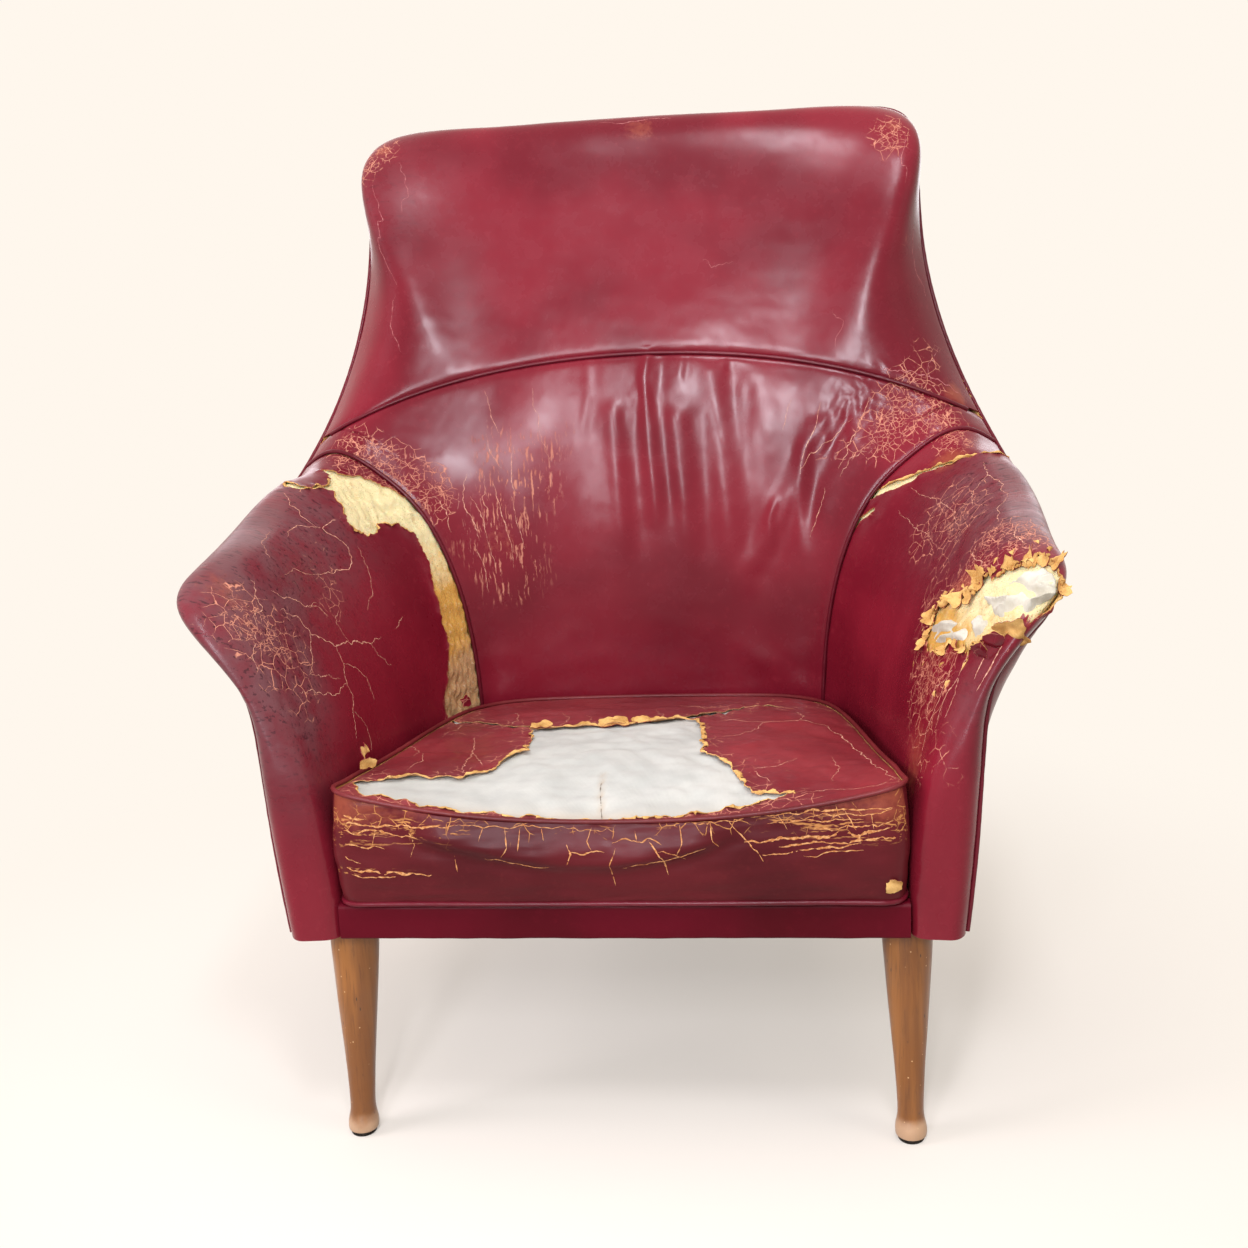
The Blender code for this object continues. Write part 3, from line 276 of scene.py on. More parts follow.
def seam_paths():
    """Points along every piped seam of the shell."""
    v = np.linspace(0, V_END, 240)
    u = np.linspace(0, U_END, 1500)
    back = np.linspace(U_ARM, U_END - U_ARM, 420)
    lines = [on_shell(np.full_like(v, U_ARM), v), on_shell(np.full_like(v, U_END - U_ARM), v),
             on_shell(u, np.full_like(u, V_END)), on_shell(back, arch_v(back))]
    return np.concatenate([evenly(line, int(run_length(line)[-1] / SEAM_STEP)) for line in lines])


SEAMS = seam_paths()


def shell_relief(points):
    """How far worn leather stands out from the smooth surface: seams drawn in, pulls, dents and ripples."""
    x, z = points[:, 0] * 1000, points[:, 2] * 1000
    dip = -0.0027 * np.exp(-np.maximum(distance(points, SEAMS) - SEAM, 0) / 0.0034)
    lift = 0.0006 * ripple(points, 0.20, 3, 1) + 0.00008 * ripple(points, 0.035, 4, 2)
    lower_back = (np.abs(points[:, 0]) < 0.245) & (points[:, 1] > 0.40) & (z < 745)
    for path, height, half in BACK_FOLDS:
        path = np.array(path, float)[::-1]
        across = x - np.interp(z, path[:, 1], path[:, 0])
        fade = min(45, 0.5 * (path[-1, 1] - path[0, 1]))
        below, above = path[0, 1], path[-1, 1]
        reach = blend(below - fade, below + fade / 2, z) * blend(above + 8, above - 12, z)
        shape = np.exp(-(across / half) ** 2) - 0.75 * np.exp(-((across - 1.9 * half) / (1.1 * half)) ** 2)
        lift += np.where(lower_back, height / 1000 * reach * shape, 0)
    for path in LOW_FOLDS:
        line = evenly(np.array(path, float) / 1000, 40)
        away = np.full(len(points), 1.0)
        away[lower_back] = distance(points[lower_back][:, [0, 2]], line)
        lift += 0.0009 * np.exp(-(away / 0.015) ** 2)
    crumple = spots(points, ((300, 465, 670, 45, 1), (262, 462, 680, 35, .8), (-340, 445, 635, 40, .7),
                             (-300, 45, 470, 40, .7), (-330, 40, 500, 35, .7), (230, 462, 640, 30, .5)))
    lift += 0.0005 * crumple * ripple(points * (1.6, 1.6, 0.7), 0.022, 8, 2)
    return dip + lift


def skin(u, v, depth=0.0, relief=None):
    """Points of the worn surface, a depth below its outer face."""
    point, outward = shell_frame(u, v)
    relief = shell_relief(point) if relief is None else relief
    return point + outward * (relief - depth)[:, None]


# ------------------------------------------------ the cushion's surfaces
def cushion_outline(count, inset):
    """The cushion's plan as points, drawn in by an inset."""
    half = np.array(CUSHION_PLAN, float) / 1000
    whole = np.concatenate([half, half[-2:0:-1] * (-1, 1)])
    line = smooth_curve(np.concatenate([whole, whole[:1]]), count + 1)[:-1]
    ahead = np.roll(line, -1, 0) - np.roll(line, 1, 0)
    ahead /= np.linalg.norm(ahead, axis=1)[:, None]
    return line + np.stack([-ahead[:, 1], ahead[:, 0]], axis=1) * inset


def cushion_height(x, y):
    """The worn top: falling to the back, crowned in the middle, high at the front corners, sunk in front."""
    share = x / CUSHION_HALF
    depth = y + 0.006
    lift = 0.014 * np.abs(share) ** 3 * np.exp(-depth / 0.15)
    sag = 0.019 * (1 - share ** 2) * np.exp(-(depth / 0.10) ** 2)
    crown = 0.012 * (1 - share ** 2) * np.sin(math.pi * np.clip(y / CUSHION_BACK, 0, 1))
    return CUSHION_TOP - SEAT_FALL * y / CUSHION_BACK + lift - sag + crown


TOP_EDGE = cushion_outline(480, 0.0)
# Pulls across the cushion's top, in millimetres, with height
SEAT_FOLDS = ((((-236, 70), (-220, 140), (-196, 240)), 1.6), (((-160, 86), (-162, 140), (-172, 225)), -1.5),
              (((95, 140), (150, 190), (205, 245)), 1.8), (((125, 62), (180, 85), (240, 120)), 1.4),
              (((-60, 330), (20, 345), (110, 370)), 1.8), (((130, 262), (180, 268), (215, 210)), 1.6),
              (((-190, 320), (-120, 340), (-70, 320)), 1.5), (((-20, 380), (40, 395), (120, 400)), 1.2))


def seat_top(x, y, depth=0.0):
    """Points of the cushion's top, a depth below the leather's outer face."""
    flat = np.stack([x, y, np.zeros_like(x)], axis=1)
    rise = 0.0012 * ripple(flat, 0.12, 21, 2) + 0.0005 * ripple(flat, 0.030, 22, 2)
    for path, height in SEAT_FOLDS:
        line = evenly(np.array(path, float) / 1000, 40)
        rise += height / 1000 * np.exp(-(distance(flat[:, :2], line) / 0.010) ** 2)
    edge = distance(flat[:, :2], TOP_EDGE)
    rise *= blend(0.002, 0.020, edge)
    rise -= 0.0027 * np.exp(-np.maximum(edge - SEAM, 0) / 0.0040)
    return np.stack([x, y, cushion_height(x, y) + rise - depth], axis=1)


def torn_lift(flat):
    """How high the top leather's torn edges stand over flat places, less beside the seam."""
    rise = 0.0012 + 0.0016 * ripple(np.pad(flat, ((0, 0), (0, 1))), 0.030, 77, 2)
    return rise * blend(0.004, 0.016, distance(flat, TOP_EDGE))


# ------------------------------------------------ meshes
def publish(name, verts, faces, finishes, chosen=None, sharp=50, marks=None):
    """One mesh piece from points in the drawing's frame; marks are named values, one for each point."""
    mesh = bpy.data.meshes.new(name)
    mesh.from_pydata((np.asarray(verts, float) + SHIFT).tolist(), [], [tuple(map(int, f)) for f in faces])
    for finish in finishes:
        mesh.materials.append(finish)
    if chosen is not None:
        mesh.polygons.foreach_set("material_index", np.asarray(chosen, np.int32))
    for key, values in (marks or {}).items():
        mesh.attributes.new(key, "FLOAT", "POINT").data.foreach_set("value", np.asarray(values, np.float32))
    mesh.shade_smooth()
    mesh.set_sharp_from_angle(angle=math.radians(sharp))
    mesh.update()
    made = bpy.data.objects.new(name, mesh)
    bpy.context.scene.collection.objects.link(made)
    return made


def place(piece, slot, *nodes, fill=None):
    """Gives a piece its body, and hides the construction solids that it stands for. Its slot is not used."""
    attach(piece, "root")
    if nodes:
        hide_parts(*nodes)
    return piece


def turned_out(piece):
    """The piece with all its faces turned outwards."""
    shape = bmesh.new()
    shape.from_mesh(piece.data)
    bmesh.ops.recalc_face_normals(shape, faces=shape.faces)
    shape.to_mesh(piece.data)
    shape.free()
    return piece


def outward_first(outer, inner, faces):
    """The faces turned so that they look from the inner points to the outer ones."""
    faces = np.asarray(faces)
    a, b, c = (outer[faces[:, k]] for k in range(3))
    looks = (np.cross(b - a, c - a) * (a - inner[faces[:, 0]])).sum(1)
    return faces if looks.sum() > 0 else faces[:, ::-1]


def rim_edges(faces):
    """Directed edges that only one face has."""
    start, end = faces.ravel(), np.roll(faces, -1, axis=1).ravel()
    size = faces.max() + 1
    single = ~np.isin(end * size + start, start * size + end)
    return start[single], end[single]


def double(name, outer, inner, faces, finishes, torn=None, marks=None, sharp=50):
    """A closed sheet: two skins with the same faces, and a rim between. Torn points get a torn rim.

    The finishes are for the outer skin, and for the inner skin and the torn rim.
    """
    faces = outward_first(outer, inner, faces)
    count = len(outer)
    start, end = rim_edges(faces)
    rim = np.stack([end, start, start + count, end + count], axis=1)
    all_faces = faces.tolist() + (faces[:, ::-1] + count).tolist() + rim.tolist()
    torn = np.zeros(count, bool) if torn is None else torn
    chosen = [0] * len(faces) + [len(finishes) - 1] * len(faces)
    chosen += np.where(torn[start] & torn[end], len(finishes) - 1, 0).tolist()
    marks = {key: np.concatenate([values, values]) for key, values in (marks or {}).items()}
    return publish(name, np.concatenate([outer, inner]), all_faces, finishes, chosen, sharp, marks)


def grid_faces(rows, columns, loop=False):
    """Four-sided faces over a grid of points; a loop joins its last row to the first."""
    i, j = np.meshgrid(np.arange(rows if loop else rows - 1), np.arange(columns - 1), indexing="ij")
    i, j = i.ravel(), j.ravel()
    k = (i + 1) % rows
    return np.stack([i * columns + j, k * columns + j, k * columns + j + 1, i * columns + j + 1], axis=1)


def capped(rings):
    """Points and faces of a solid through rings of points, with a flat face over each end."""
    rows, count = len(rings), len(rings[0])
    i, j = np.meshgrid(np.arange(rows - 1), np.arange(count), indexing="ij")
    i, j = i.ravel(), j.ravel()
    k = (j + 1) % count
    faces = np.stack([i * count + j, i * count + k, (i + 1) * count + k, (i + 1) * count + j],
                     axis=1).tolist()
    faces += [list(range(count - 1, -1, -1)), [(rows - 1) * count + j for j in range(count)]]
    return np.concatenate(rings), faces


def inside(points, outline):
    """Which points lie inside a closed flat outline."""
    held = np.zeros(len(points), bool)
    x, y = points[:, 0], points[:, 1]
    for (x0, y0), (x1, y1) in zip(outline, np.roll(outline, -1, axis=0)):
        if y0 == y1:
            continue
        crosses = (y0 > y) != (y1 > y)
        held ^= crosses & (x < (x1 - x0) * (y - y0) / (y1 - y0) + x0)
    return held


def ragged(outline, rough, seed, step=0.0022):
    """A closed outline with a torn edge: resampled, and pushed in and out at random."""
    outline = np.array(outline, float) / 1000
    closed = np.concatenate([outline, outline[:1]])
    line = evenly(closed, int(run_length(closed)[-1] / step))[:-1]
    ahead = np.roll(line, -1, 0) - np.roll(line, 1, 0)
    ahead /= np.linalg.norm(ahead, axis=1)[:, None] + 1e-12
    side = np.stack([-ahead[:, 1], ahead[:, 0]], axis=1)
    field = np.pad(line, ((0, 0), (0, 1)))
    push = ripple(field, 0.020, seed, 1) + 0.6 * ripple(field, 0.007, seed + 1, 2)
    return line + side * push[:, None] * rough


def torn_mesh(outline, nodes, holes):
    """Triangles over a flat outline, less its holes: the flat points and the faces."""
    clear = np.concatenate([outline] + holes)
    nodes = nodes[distance(nodes, clear) > 0.0013]
    points, edges = [], []
    for ring in [outline] + holes:
        first, count = len(points), len(ring)
        points += [Vector(p) for p in ring]
        edges += [(first + k, first + (k + 1) % count) for k in range(count)]
    points += [Vector(p) for p in nodes]
    flat, _, faces, *_ = geometry.delaunay_2d_cdt(points, edges, [], 0, 1e-7)
    flat, faces = np.array([tuple(p) for p in flat]), np.array(faces)
    middle = flat[faces].mean(axis=1)
    keep = inside(middle, outline)
    for hole in holes:
        keep &= ~inside(middle, hole)
    used, faces = np.unique(faces[keep], return_inverse=True)
    return flat[used], faces.reshape(-1, 3)


# ------------------------------------------------ materials
def linear(hexcode):
    """An sRGB hex colour as linear values with full opacity."""
    channels = [int(hexcode[i:i + 2], 16) / 255 for i in (1, 3, 5)]
    return (*[c / 12.92 if c <= 0.04045 else ((c + 0.055) / 1.055) ** 2.4 for c in channels], 1.0)


COLOUR = {"data_type": "RGBA"}
SMOOTH = {"interpolation_type": "SMOOTHSTEP"}
TIMES = {"operation": "MULTIPLY"}


def feed(tree, made, inputs):
    """Gives a node's sockets, by name or place, a value, or a socket or node (its first output) to read."""
    for socket, value in inputs.items():
        if isinstance(value, bpy.types.Node):
            value = next(output for output in value.outputs if output.enabled)
        if isinstance(value, bpy.types.NodeSocket):
            tree.links.new(value, made.inputs[socket])
        else:
            made.inputs[socket].default_value = value


def node(tree, kind, inputs=(), **settings):
    """Adds a node with its settings and links. Inputs go by name, or in order to the sockets it shows."""
    made = tree.nodes.new(kind if "Node" in kind else "ShaderNode" + kind)
    for key, value in settings.items():
        setattr(made, key, value)
    if not isinstance(inputs, dict):
        shown = [place for place, socket in enumerate(made.inputs) if socket.enabled]
        inputs = dict(zip(shown, inputs))
    feed(tree, made, inputs)
    return made


def finish_of(name, roughness, **sockets):
    """A named material: its node tree, and its Principled shader with uniform values on its sockets."""
    material = bpy.data.materials.new(name)
    material.use_nodes = True
    shader = material.node_tree.nodes["Principled BSDF"]
    uniform = {socket.replace("_", " "): value for socket, value in sockets.items()}
    feed(material.node_tree, shader, {"Roughness": roughness, **uniform})
    return material, material.node_tree, shader


def glazed_hide(name, deep, mid, lit, roughness=0.25, wear=1.0, gloss=0.5, pull=(1.0, 1.0, 0.075),
                bare="#cf8a70"):
    """Aniline-dyed cowhide with a glazed finish, which leaves a soft mottle under a gloss.

    Age dries the glaze: hairlines run through it (mark craze), it splits into fine strokes along the pull
    (mark split), dulls to a rougher bloom with small cross creases (mark haze), whose grey-mauve colour is
    painted sheen and whose dark crease lines are painted shade, and rubs through to the undyed grain (mark
    rub).
    """
    material, tree, shader = finish_of(name, roughness, Specular_IOR_Level=0.44 * gloss,
                                       Coat_Weight=0.10 * gloss, Coat_Roughness=0.16)
    place_at = node(tree, "TexCoord").outputs["Object"]
    warp = node(tree, "TexNoise", {"Vector": place_at, "Scale": 42.0, "Detail": 3.0, "Roughness": 0.6})
    shift = node(tree, "VectorMath", (warp.outputs["Color"], (0.5, 0.5, 0.5)), operation="SUBTRACT")
    shift = node(tree, "VectorMath", (shift, 0.008), operation="SCALE")
    warped = node(tree, "VectorMath", (place_at, shift))
    mottle = node(tree, "TexNoise", {"Vector": place_at, "Scale": 6.0, "Detail": 2.0, "Roughness": 0.5})
    fine = node(tree, "TexNoise", {"Vector": place_at, "Scale": 110.0, "Detail": 3.0, "Roughness": 0.7})
    patch = node(tree, "TexNoise", {"Vector": place_at, "Scale": 30.0, "Detail": 3.0, "Roughness": 0.65})
    marks = {key: node(tree, "Attribute", attribute_name=key).outputs["Fac"]
             for key in ("craze", "split", "haze_and_sheen", "rub")}

    # Hairlines: a broken net about 15 mm across where the glaze has begun to go, 6 mm where it is worst
    wide = node(tree, "TexVoronoi", {"Vector": warped, "Scale": 66.0}, feature="DISTANCE_TO_EDGE")
    small = node(tree, "TexVoronoi", {"Vector": warped, "Scale": 165.0}, feature="DISTANCE_TO_EDGE")
    worn = node(tree, "Math", (marks["craze"], patch))
    wide_line = node(tree, "MapRange", (wide, 0.006, 0.030, 1.0, 0.0), **SMOOTH)
    wide_line = node(tree, "Math", (wide_line, node(tree, "MapRange", (worn, 0.98, 1.12), **SMOOTH)), **TIMES)
    wide_line = node(tree, "Math", (wide_line, node(tree, "MapRange", (fine, 0.36, 0.50), **SMOOTH)), **TIMES)
    small_line = node(tree, "MapRange", (small, 0.018, 0.068, 1.0, 0.0), **SMOOTH)
    small_line = node(tree, "Math", (small_line, node(tree, "MapRange", (worn, 1.26, 1.44), **SMOOTH)),
                      **TIMES)
    small_line = node(tree, "Math", (small_line, node(tree, "MapRange", (fine, 0.40, 0.54), **SMOOTH)),
                      **TIMES)
    small_line = node(tree, "Math", (small_line, 0.85), **TIMES)
    # Strokes along the pull: fine upright splits, 1 to 3 mm apart
    pulled = node(tree, "VectorMath", (warped, pull), **TIMES)
    stroke = node(tree, "TexNoise", {"Vector": pulled, "Scale": 330.0, "Detail": 2.0, "Roughness": 0.6})
    stroke_line = node(tree, "MapRange", (stroke, 0.56, 0.66), **SMOOTH)
    split = node(tree, "Math", (marks["split"], patch))
    split = node(tree, "MapRange", (split, 0.86, 1.30), **SMOOTH)
    stroke_line = node(tree, "Math", (stroke_line, split), **TIMES)
    stroke_line = node(tree, "Math", (stroke_line, 0.8), **TIMES)
    crack = node(tree, "Math", (wide_line, small_line), operation="MAXIMUM")
    crack = node(tree, "Math", (crack, stroke_line), operation="MAXIMUM")

    share = node(tree, "MapRange", (mottle, 0.36, 0.64), **SMOOTH)
    colour = node(tree, "Mix", (share, linear(deep), linear(mid)), **COLOUR)
    share = node(tree, "MapRange", (fine, 0.52, 0.80, 0.0, 0.22), **SMOOTH)
    colour = node(tree, "Mix", (share, colour, linear(lit)), **COLOUR)
    across = node(tree, "VectorMath", (warped, (0.20, 1.0, 1.0)), **TIMES)
    crease = node(tree, "TexNoise", {"Vector": across, "Scale": 230.0, "Detail": 3.0, "Roughness": 0.6})
    # The bloom makes the leather rougher, and its grey-mauve colour is painted sheen, a soft reflection laid
    # into the dye
    bloom = node(tree, "MapRange", (patch, 0.28, 0.66, 0.35, 0.95), **SMOOTH)
    haze_and_sheen = node(tree, "Math", (marks["haze_and_sheen"], bloom), **TIMES)
    share = node(tree, "Math", (haze_and_sheen, 0.88), **TIMES)
    colour = node(tree, "Mix", (share, colour, linear("#6a4448")), **COLOUR)
    # Painted shade: the bloom's small cross creases are darkened down their grooves
    groove_shade = node(tree, "MapRange", (crease, 0.44, 0.36), **SMOOTH)
    groove_shade = node(tree, "Math", (marks["haze_and_sheen"], groove_shade), **TIMES)
    share = node(tree, "Math", (groove_shade, 0.75), **TIMES)
    colour = node(tree, "Mix", (share, colour, linear("#3c1a22")), **COLOUR)
    rub = node(tree, "Math", (marks["rub"], node(tree, "Math", (fine, 0.8), **TIMES)))
    rub = node(tree, "MapRange", (rub, 0.85, 1.45), **SMOOTH)
    rub = node(tree, "Math", (rub, 0.65 * wear), **TIMES)
    colour = node(tree, "Mix", (rub, colour, linear("#9c4f38")), **COLOUR)
    share = node(tree, "Math", (crack, 0.92 * wear), **TIMES)
    colour = node(tree, "Mix", (share, colour, linear(bare)), **COLOUR)

    dull = node(tree, "MapRange", (patch, 0.30, 0.70, roughness - 0.03, roughness + 0.05), **SMOOTH)
    dull = node(tree, "Math", (dull, node(tree, "Math", (haze_and_sheen, 0.13), **TIMES)))
    dull = node(tree, "Math", (dull, node(tree, "Math", (rub, 0.20), **TIMES)))
    dull = node(tree, "Math", (dull, node(tree, "Math", (crack, 0.30), **TIMES)))

    # Grain pores are about 1 mm apart, and creases of the bloom 3 mm: heights are in millimetres
    pores = node(tree, "TexNoise", {"Vector": place_at, "Scale": 950.0, "Detail": 1.0})
    height = node(tree, "Math", (pores, 0.04), **TIMES)
    height = node(tree, "Math", (height, node(tree, "Math", (fine, 0.10), **TIMES)))
    creased = node(tree, "Math", (crease, marks["haze_and_sheen"]), **TIMES)
    creased = node(tree, "Math", (creased, 0.45), **TIMES)
    height = node(tree, "Math", (height, creased))
    height = node(tree, "Math", (height, node(tree, "Math", (crack, -0.25), **TIMES)))
    bump = node(tree, "Bump", {"Height": height, "Strength": 0.8, "Distance": 0.001})
    feed(tree, shader, {"Base Color": colour, "Roughness": dull, "Normal": bump})
    return material


def flesh_side():
    """Flesh side of vegetable-tanned hide, torn open: loose ochre fibres with paler tips, quite dull."""
    material, tree, shader = finish_of("vegetable-tanned flesh side", 0.92, Specular_IOR_Level=0.2)
    place_at = node(tree, "TexCoord").outputs["Object"]
    broad = node(tree, "TexNoise", {"Vector": place_at, "Scale": 60.0, "Detail": 3.0})
    fibre = node(tree, "TexNoise", {"Vector": place_at, "Scale": 900.0, "Detail": 4.0, "Roughness": 0.8})
    share = node(tree, "MapRange", (broad, 0.35, 0.65), **SMOOTH)
    colour = node(tree, "Mix", (share, linear("#b58345"), linear("#e0b26c")), **COLOUR)
    share = node(tree, "MapRange", (fibre, 0.45, 0.80, 0.0, 0.6), **SMOOTH)
    colour = node(tree, "Mix", (share, colour, linear("#f4d596")), **COLOUR)
    bump = node(tree, "Bump", {"Height": fibre, "Strength": 0.8, "Distance": 0.0006})
    feed(tree, shader, {"Base Color": colour, "Normal": bump})
    return material


def open_grain(name, dark, pale):
    """Undyed grain laid bare in a crack or scratch: a thin dry line, paler than the dye around it."""
    material, tree, shader = finish_of(name, 0.8, Specular_IOR_Level=0.25)
    place_at = node(tree, "TexCoord").outputs["Object"]
    fleck = node(tree, "TexNoise", {"Vector": place_at, "Scale": 420.0, "Detail": 2.0})
    share = node(tree, "MapRange", (fleck, 0.35, 0.65), **SMOOTH)
    colour = node(tree, "Mix", (share, linear(dark), linear(pale)), **COLOUR)
    feed(tree, shader, {"Base Color": colour})
    return material


def latex_foam():
    """Old moulded latex foam: tan-beige low down, golden higher, and cream highest, in bands by height.

    Its open cells are about 1 mm; in patches their pits are darkened, painted shade in the hollows.
    """
    material, tree, shader = finish_of("aged latex foam", 0.95, Specular_IOR_Level=0.15,
                                       Subsurface_Weight=0.15, Subsurface_Scale=0.004)
    place_at = node(tree, "TexCoord").outputs["Object"]
    up = node(tree, "SeparateXYZ", {"Vector": place_at}).outputs["Z"]
    patch = node(tree, "TexNoise", {"Vector": place_at, "Scale": 34.0, "Detail": 4.0, "Roughness": 0.65})
    small = node(tree, "TexNoise", {"Vector": place_at, "Scale": 260.0, "Detail": 3.0})
    cells = node(tree, "TexVoronoi", {"Vector": place_at, "Scale": 520.0})
    # Tan-beige low down, golden higher, cream highest: bands by height
    share = node(tree, "Math", (up, node(tree, "Math", (patch, 0.10), **TIMES)))
    share = node(tree, "MapRange", (share, 0.42, 0.47), **SMOOTH)
    colour = node(tree, "Mix", (share, linear("#b28a60"), linear("#c8974a")), **COLOUR)
    share = node(tree, "Math", (up, node(tree, "Math", (patch, 0.12), **TIMES)))
    share = node(tree, "MapRange", (share, 0.53, 0.59), **SMOOTH)
    colour = node(tree, "Mix", (share, colour, linear("#d9cb9b")), **COLOUR)
    share = node(tree, "MapRange", (patch, 0.58, 0.74, 0.0, 0.45), **SMOOTH)
    colour = node(tree, "Mix", (share, colour, linear("#b98544")), **COLOUR)
    share = node(tree, "MapRange", (small, 0.55, 0.80, 0.0, 0.30), **SMOOTH)
    colour = node(tree, "Mix", (share, colour, linear("#fbf3d6")), **COLOUR)
    # Painted shade: the pits of the cells are darkened, in patches
    share = node(tree, "MapRange", (cells, 0.12, 0.24, 1.0, 0.0), **SMOOTH)
    share = node(tree, "Math", (share, node(tree, "MapRange", (patch, 0.38, 0.52), **SMOOTH)), **TIMES)
    colour = node(tree, "Mix", (share, colour, linear("#6b4a22")), **COLOUR)
    height = node(tree, "Math", (cells, 0.5), **TIMES)
    height = node(tree, "Math", (height, node(tree, "Math", (small, 0.9), **TIMES)))
    height = node(tree, "Math", (height, patch))
    bump = node(tree, "Bump", {"Height": height, "Strength": 0.7, "Distance": 0.0011})
    feed(tree, shader, {"Base Color": colour, "Normal": bump})
    return material


def plain_cloth(name, colour_a, colour_b, thread, stain_and_shade=None, rough=0.9):
    """Plain-woven cloth: two crossed sets of threads, drawn at the spacing given in metres."""
    material, tree, shader = finish_of(name, rough, Specular_IOR_Level=0.2, Sheen_Weight=0.15)
    place_at = node(tree, "TexCoord").outputs["Object"]
    bands = math.pi / (10 * thread)
    warp = node(tree, "TexWave", {"Vector": place_at, "Scale": bands, "Distortion": 0.6, "Detail": 1.0},
                bands_direction="X")
    weft = node(tree, "TexWave", {"Vector": place_at, "Scale": bands, "Distortion": 0.6, "Detail": 1.0},
                bands_direction="Y")
    patch = node(tree, "TexNoise", {"Vector": place_at, "Scale": 22.0, "Detail": 5.0, "Roughness": 0.6})
    share = node(tree, "MapRange", (patch, 0.30, 0.70), **SMOOTH)
    colour = node(tree, "Mix", (share, linear(colour_a), linear(colour_b)), **COLOUR)
    # The attribute darkens the cloth: on the muslin, a stain at its front and painted shade along its crease
    if stain_and_shade:
        mark = node(tree, "Attribute", attribute_name="stain_and_shade").outputs["Fac"]
        share = node(tree, "MapRange", (patch, 0.25, 0.60, 0.45, 1.0), **SMOOTH)
        share = node(tree, "Math", (mark, share), **TIMES)
        colour = node(tree, "Mix", (share, colour, linear(stain_and_shade)), **COLOUR)
    height = node(tree, "Math", (warp, weft), **TIMES)
    height = node(tree, "Math", (height, node(tree, "Math", (patch, 0.8), **TIMES)))
    bump = node(tree, "Bump", {"Height": height, "Strength": 0.35, "Distance": 0.0006})
    feed(tree, shader, {"Base Color": colour, "Normal": bump})
    return material


def turned_beech():
    """Beech turned on a lathe and stained walnut brown: short flecks along the grain under a satin film.

    The film is knocked off in small nicks, and worn to bare wood at the foot.
    """
    material, tree, shader = finish_of("stained turned beech", 0.36, Coat_Weight=0.25, Coat_Roughness=0.2)
    place_at = node(tree, "TexCoord").outputs["Object"]
    along = node(tree, "VectorMath", (place_at, (1.0, 1.0, 0.045)), **TIMES)
    grain = node(tree, "TexNoise", {"Vector": along, "Scale": 420.0, "Detail": 4.0, "Roughness": 0.6})
    figure = node(tree, "TexNoise", {"Vector": along, "Scale": 60.0, "Detail": 3.0})
    patch = node(tree, "TexNoise", {"Vector": place_at, "Scale": 30.0, "Detail": 4.0})
    nick = node(tree, "TexVoronoi", {"Vector": place_at, "Scale": 120.0})
    stretched = node(tree, "VectorMath", (place_at, (1.0, 1.0, 0.25)), **TIMES)
    streak = node(tree, "TexVoronoi", {"Vector": stretched, "Scale": 190.0})
    up = node(tree, "SeparateXYZ", {"Vector": place_at}).outputs["Z"]
    share = node(tree, "MapRange", (figure, 0.35, 0.65), **SMOOTH)
    colour = node(tree, "Mix", (share, linear("#7a4718"), linear("#9c6229")), **COLOUR)
    share = node(tree, "MapRange", (grain, 0.50, 0.72, 0.0, 0.55), **SMOOTH)
    colour = node(tree, "Mix", (share, colour, linear("#5c3210")), **COLOUR)
    share = node(tree, "MapRange", (nick, 0.07, 0.11, 1.0, 0.0), **SMOOTH)
    share = node(tree, "Math", (share, node(tree, "MapRange", (patch, 0.50, 0.56), **SMOOTH)), **TIMES)
    colour = node(tree, "Mix", (share, colour, linear("#cfa878")), **COLOUR)
    share = node(tree, "MapRange", (streak, 0.06, 0.12, 1.0, 0.0), **SMOOTH)
    share = node(tree, "Math", (share, node(tree, "MapRange", (patch, 0.56, 0.48), **SMOOTH)), **TIMES)
    colour = node(tree, "Mix", (share, colour, linear("#3d2412")), **COLOUR)
    bare = node(tree, "Math", (up, node(tree, "Math", (patch, -0.030), **TIMES)))
    bare = node(tree, "MapRange", (bare, 0.012, -0.004), **SMOOTH)
    share = node(tree, "Math", (bare, 0.85), **TIMES)
    colour = node(tree, "Mix", (share, colour, linear("#c8a280")), **COLOUR)
    dull = node(tree, "MapRange", (patch, 0.3, 0.7, 0.28, 0.50), **SMOOTH)
    height = node(tree, "Math", (grain, node(tree, "Math", (nick, 0.5), **TIMES)))
    bump = node(tree, "Bump", {"Height": height, "Strength": 0.25, "Distance": 0.0005})
    feed(tree, shader, {"Base Color": colour, "Roughness": dull, "Normal": bump})
    return material


def speckled(name, colour_a, colour_b, scale, roughness, stretch_by=(1.0, 1.0, 1.0), metallic=0.0,
             depth=0.0003):
    """A plain finish with small variation: scale is features per metre, stretched along any grain."""
    material, tree, shader = finish_of(name, roughness, Metallic=metallic)
    at = node(tree, "VectorMath", (node(tree, "TexCoord").outputs["Object"], stretch_by), **TIMES)
    noise = node(tree, "TexNoise", {"Vector": at, "Scale": scale, "Detail": 5.0, "Roughness": 0.65})
    share = node(tree, "MapRange", (noise, 0.3, 0.7), **SMOOTH)
    colour = node(tree, "Mix", (share, linear(colour_a), linear(colour_b)), **COLOUR)
    bump = node(tree, "Bump", {"Height": noise, "Strength": 0.5, "Distance": depth})
    feed(tree, shader, {"Base Color": colour, "Normal": bump})
    return material


